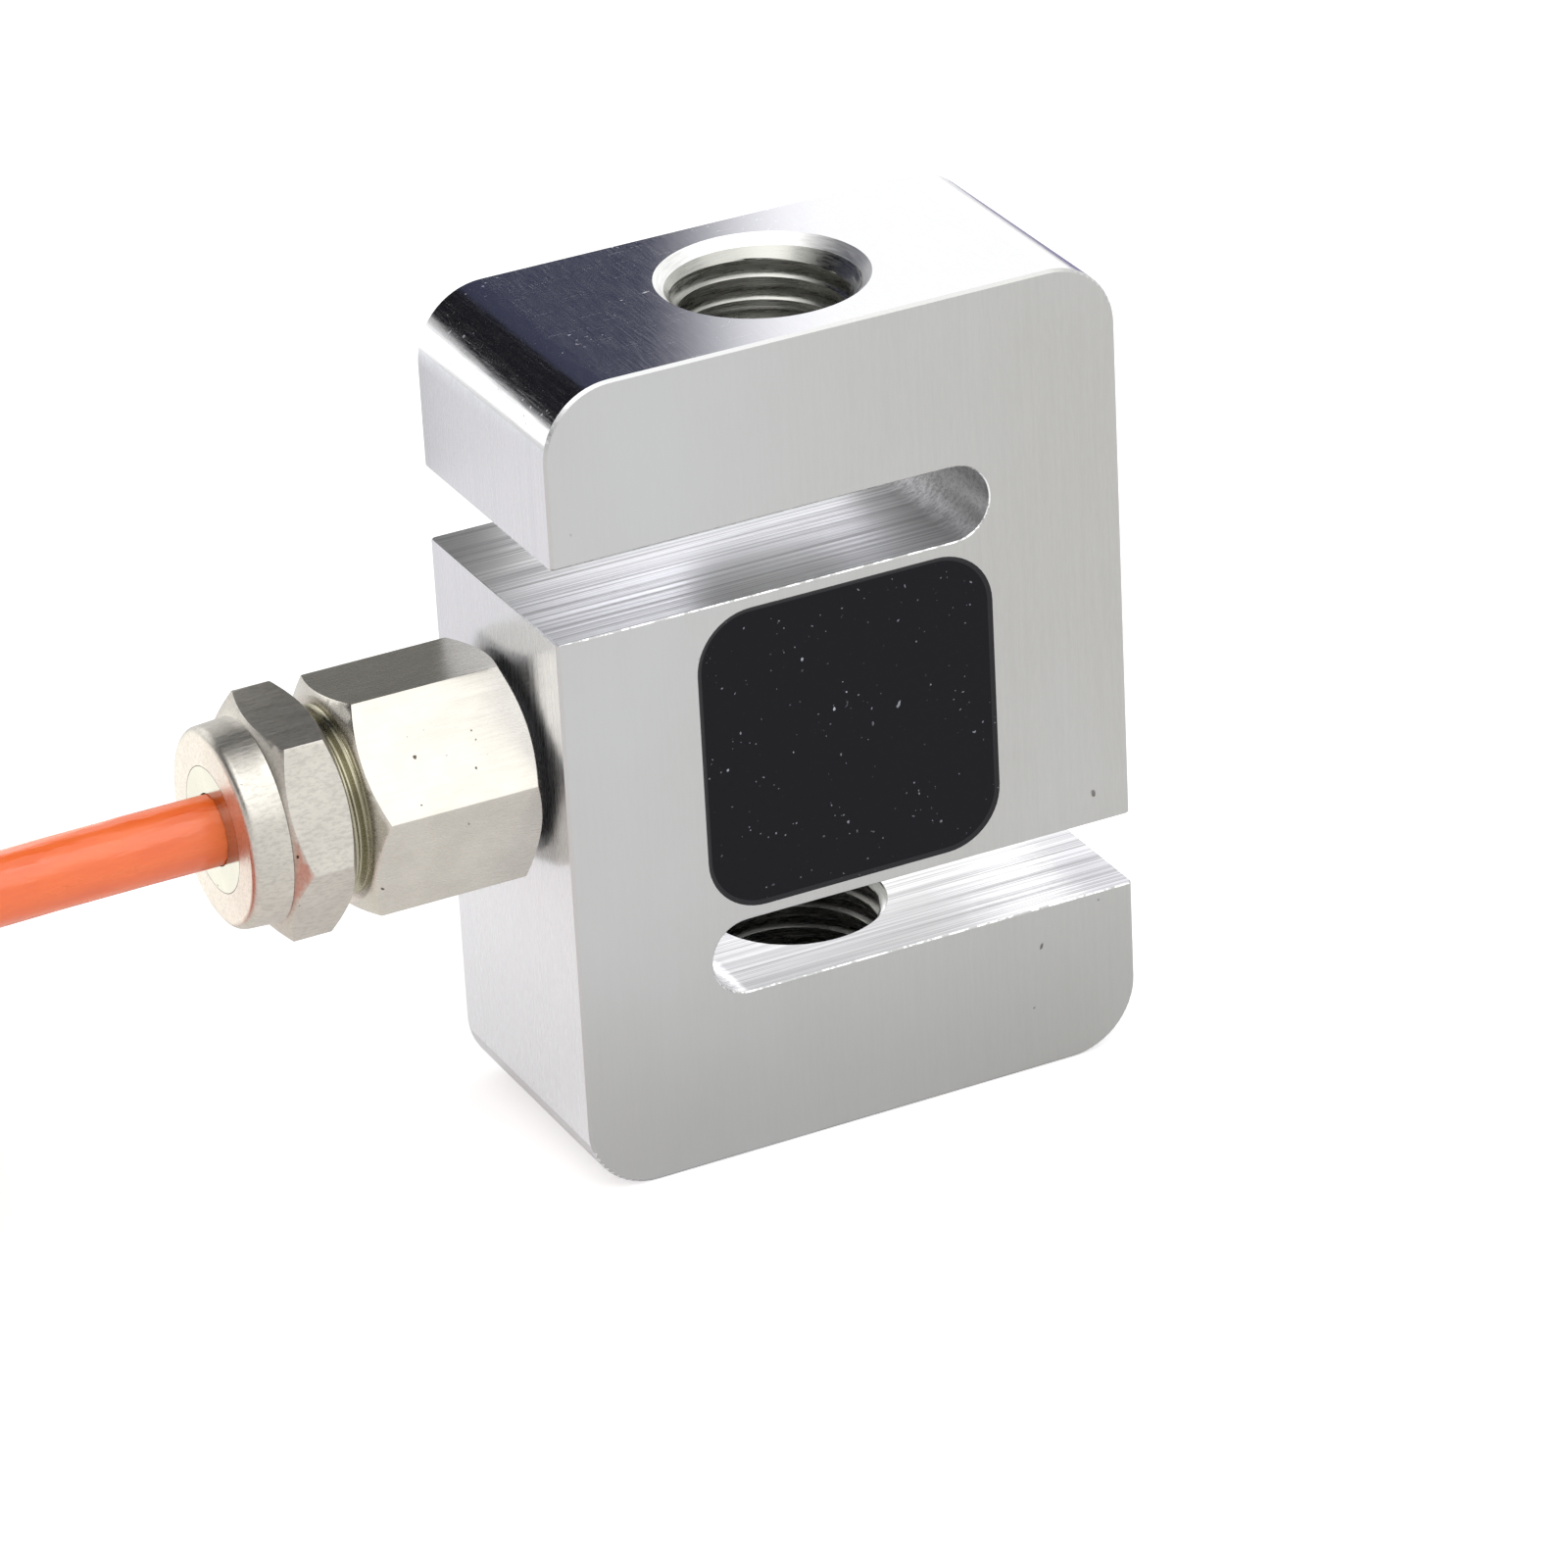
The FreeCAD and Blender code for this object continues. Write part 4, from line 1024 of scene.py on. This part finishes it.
def make_lamp(stage):
    """The square softbox overhead."""
    lamp = bpy.data.lights.new("softbox", "AREA")
    lamp.shape = "SQUARE"
    lamp.size = LAMP_SIDE
    lamp.energy = stage.key_power
    made = add_object("softbox", lamp)
    place = Vector(LAMP_PLACE) * MM
    made.location = place
    made.rotation_euler = (place - Vector(LAMP_TARGET) * MM).to_track_quat("Z", "Y").to_euler()


def make_camera(stage):
    camera = bpy.data.cameras.new("camera")
    camera.lens = stage.lens
    camera.sensor_width = 36.0
    camera.clip_start = 0.01
    camera.clip_end = 20.0
    made = add_object("camera", camera)
    ahead = Vector(CAMERA_AHEAD).normalized()
    across = ahead.cross(Vector(CAMERA_ABOVE).normalized()).normalized()
    above = across.cross(ahead)
    turn = Matrix((across, above, -ahead)).transposed()
    made.matrix_world = Matrix.Translation(Vector(CAMERA_PLACE) * MM) @ turn.to_4x4()
    bpy.context.scene.camera = made


class OBJECT_OT_load_cell_stage(bpy.types.Operator):
    """Set up the floor, the light and the camera"""

    bl_idname = "object.load_cell_stage"
    bl_label = "Stage"

    def execute(self, context):
        stage = settings("stage")
        make_floor(stage)
        make_world(stage)
        for card in cards(stage):
            make_card(*card)
        make_lamp(stage)
        make_camera(stage)
        context.scene.view_settings.view_transform = "Standard"
        return {"FINISHED"}


OPERATORS = (
    OBJECT_OT_load_cell_beam,
    OBJECT_OT_load_cell_pockets,
    OBJECT_OT_load_cell_gland,
    OBJECT_OT_load_cell_cable,
    OBJECT_OT_load_cell_stage,
)


class VIEW3D_PT_load_cell(bpy.types.Panel):
    """Lists the pieces of the load cell and their settings"""

    bl_idname = "VIEW3D_PT_load_cell"
    bl_label = "Load Cell"
    bl_space_type = "VIEW_3D"
    bl_region_type = "UI"
    bl_category = "Load Cell"

    def draw(self, context):
        for operator in OPERATORS:
            self.layout.operator(operator.bl_idname)
        for name, group in GROUPS.items():
            column = self.layout.column(align=True)
            for key in group.__annotations__:
                column.prop(getattr(context.scene, name), key)


CLASSES = (*GROUPS.values(), *OPERATORS, VIEW3D_PT_load_cell)


def register():
    for item in CLASSES:
        bpy.utils.register_class(item)
    for name, group in GROUPS.items():
        setattr(bpy.types.Scene, name, PointerProperty(type=group))


def unregister():
    for name in GROUPS:
        delattr(bpy.types.Scene, name)
    for item in reversed(CLASSES):
        bpy.utils.unregister_class(item)


def main():
    register()
    for operator in OPERATORS:
        area, name = operator.bl_idname.split(".")
        getattr(getattr(bpy.ops, area), name)()


if __name__ == "__main__":
    main()
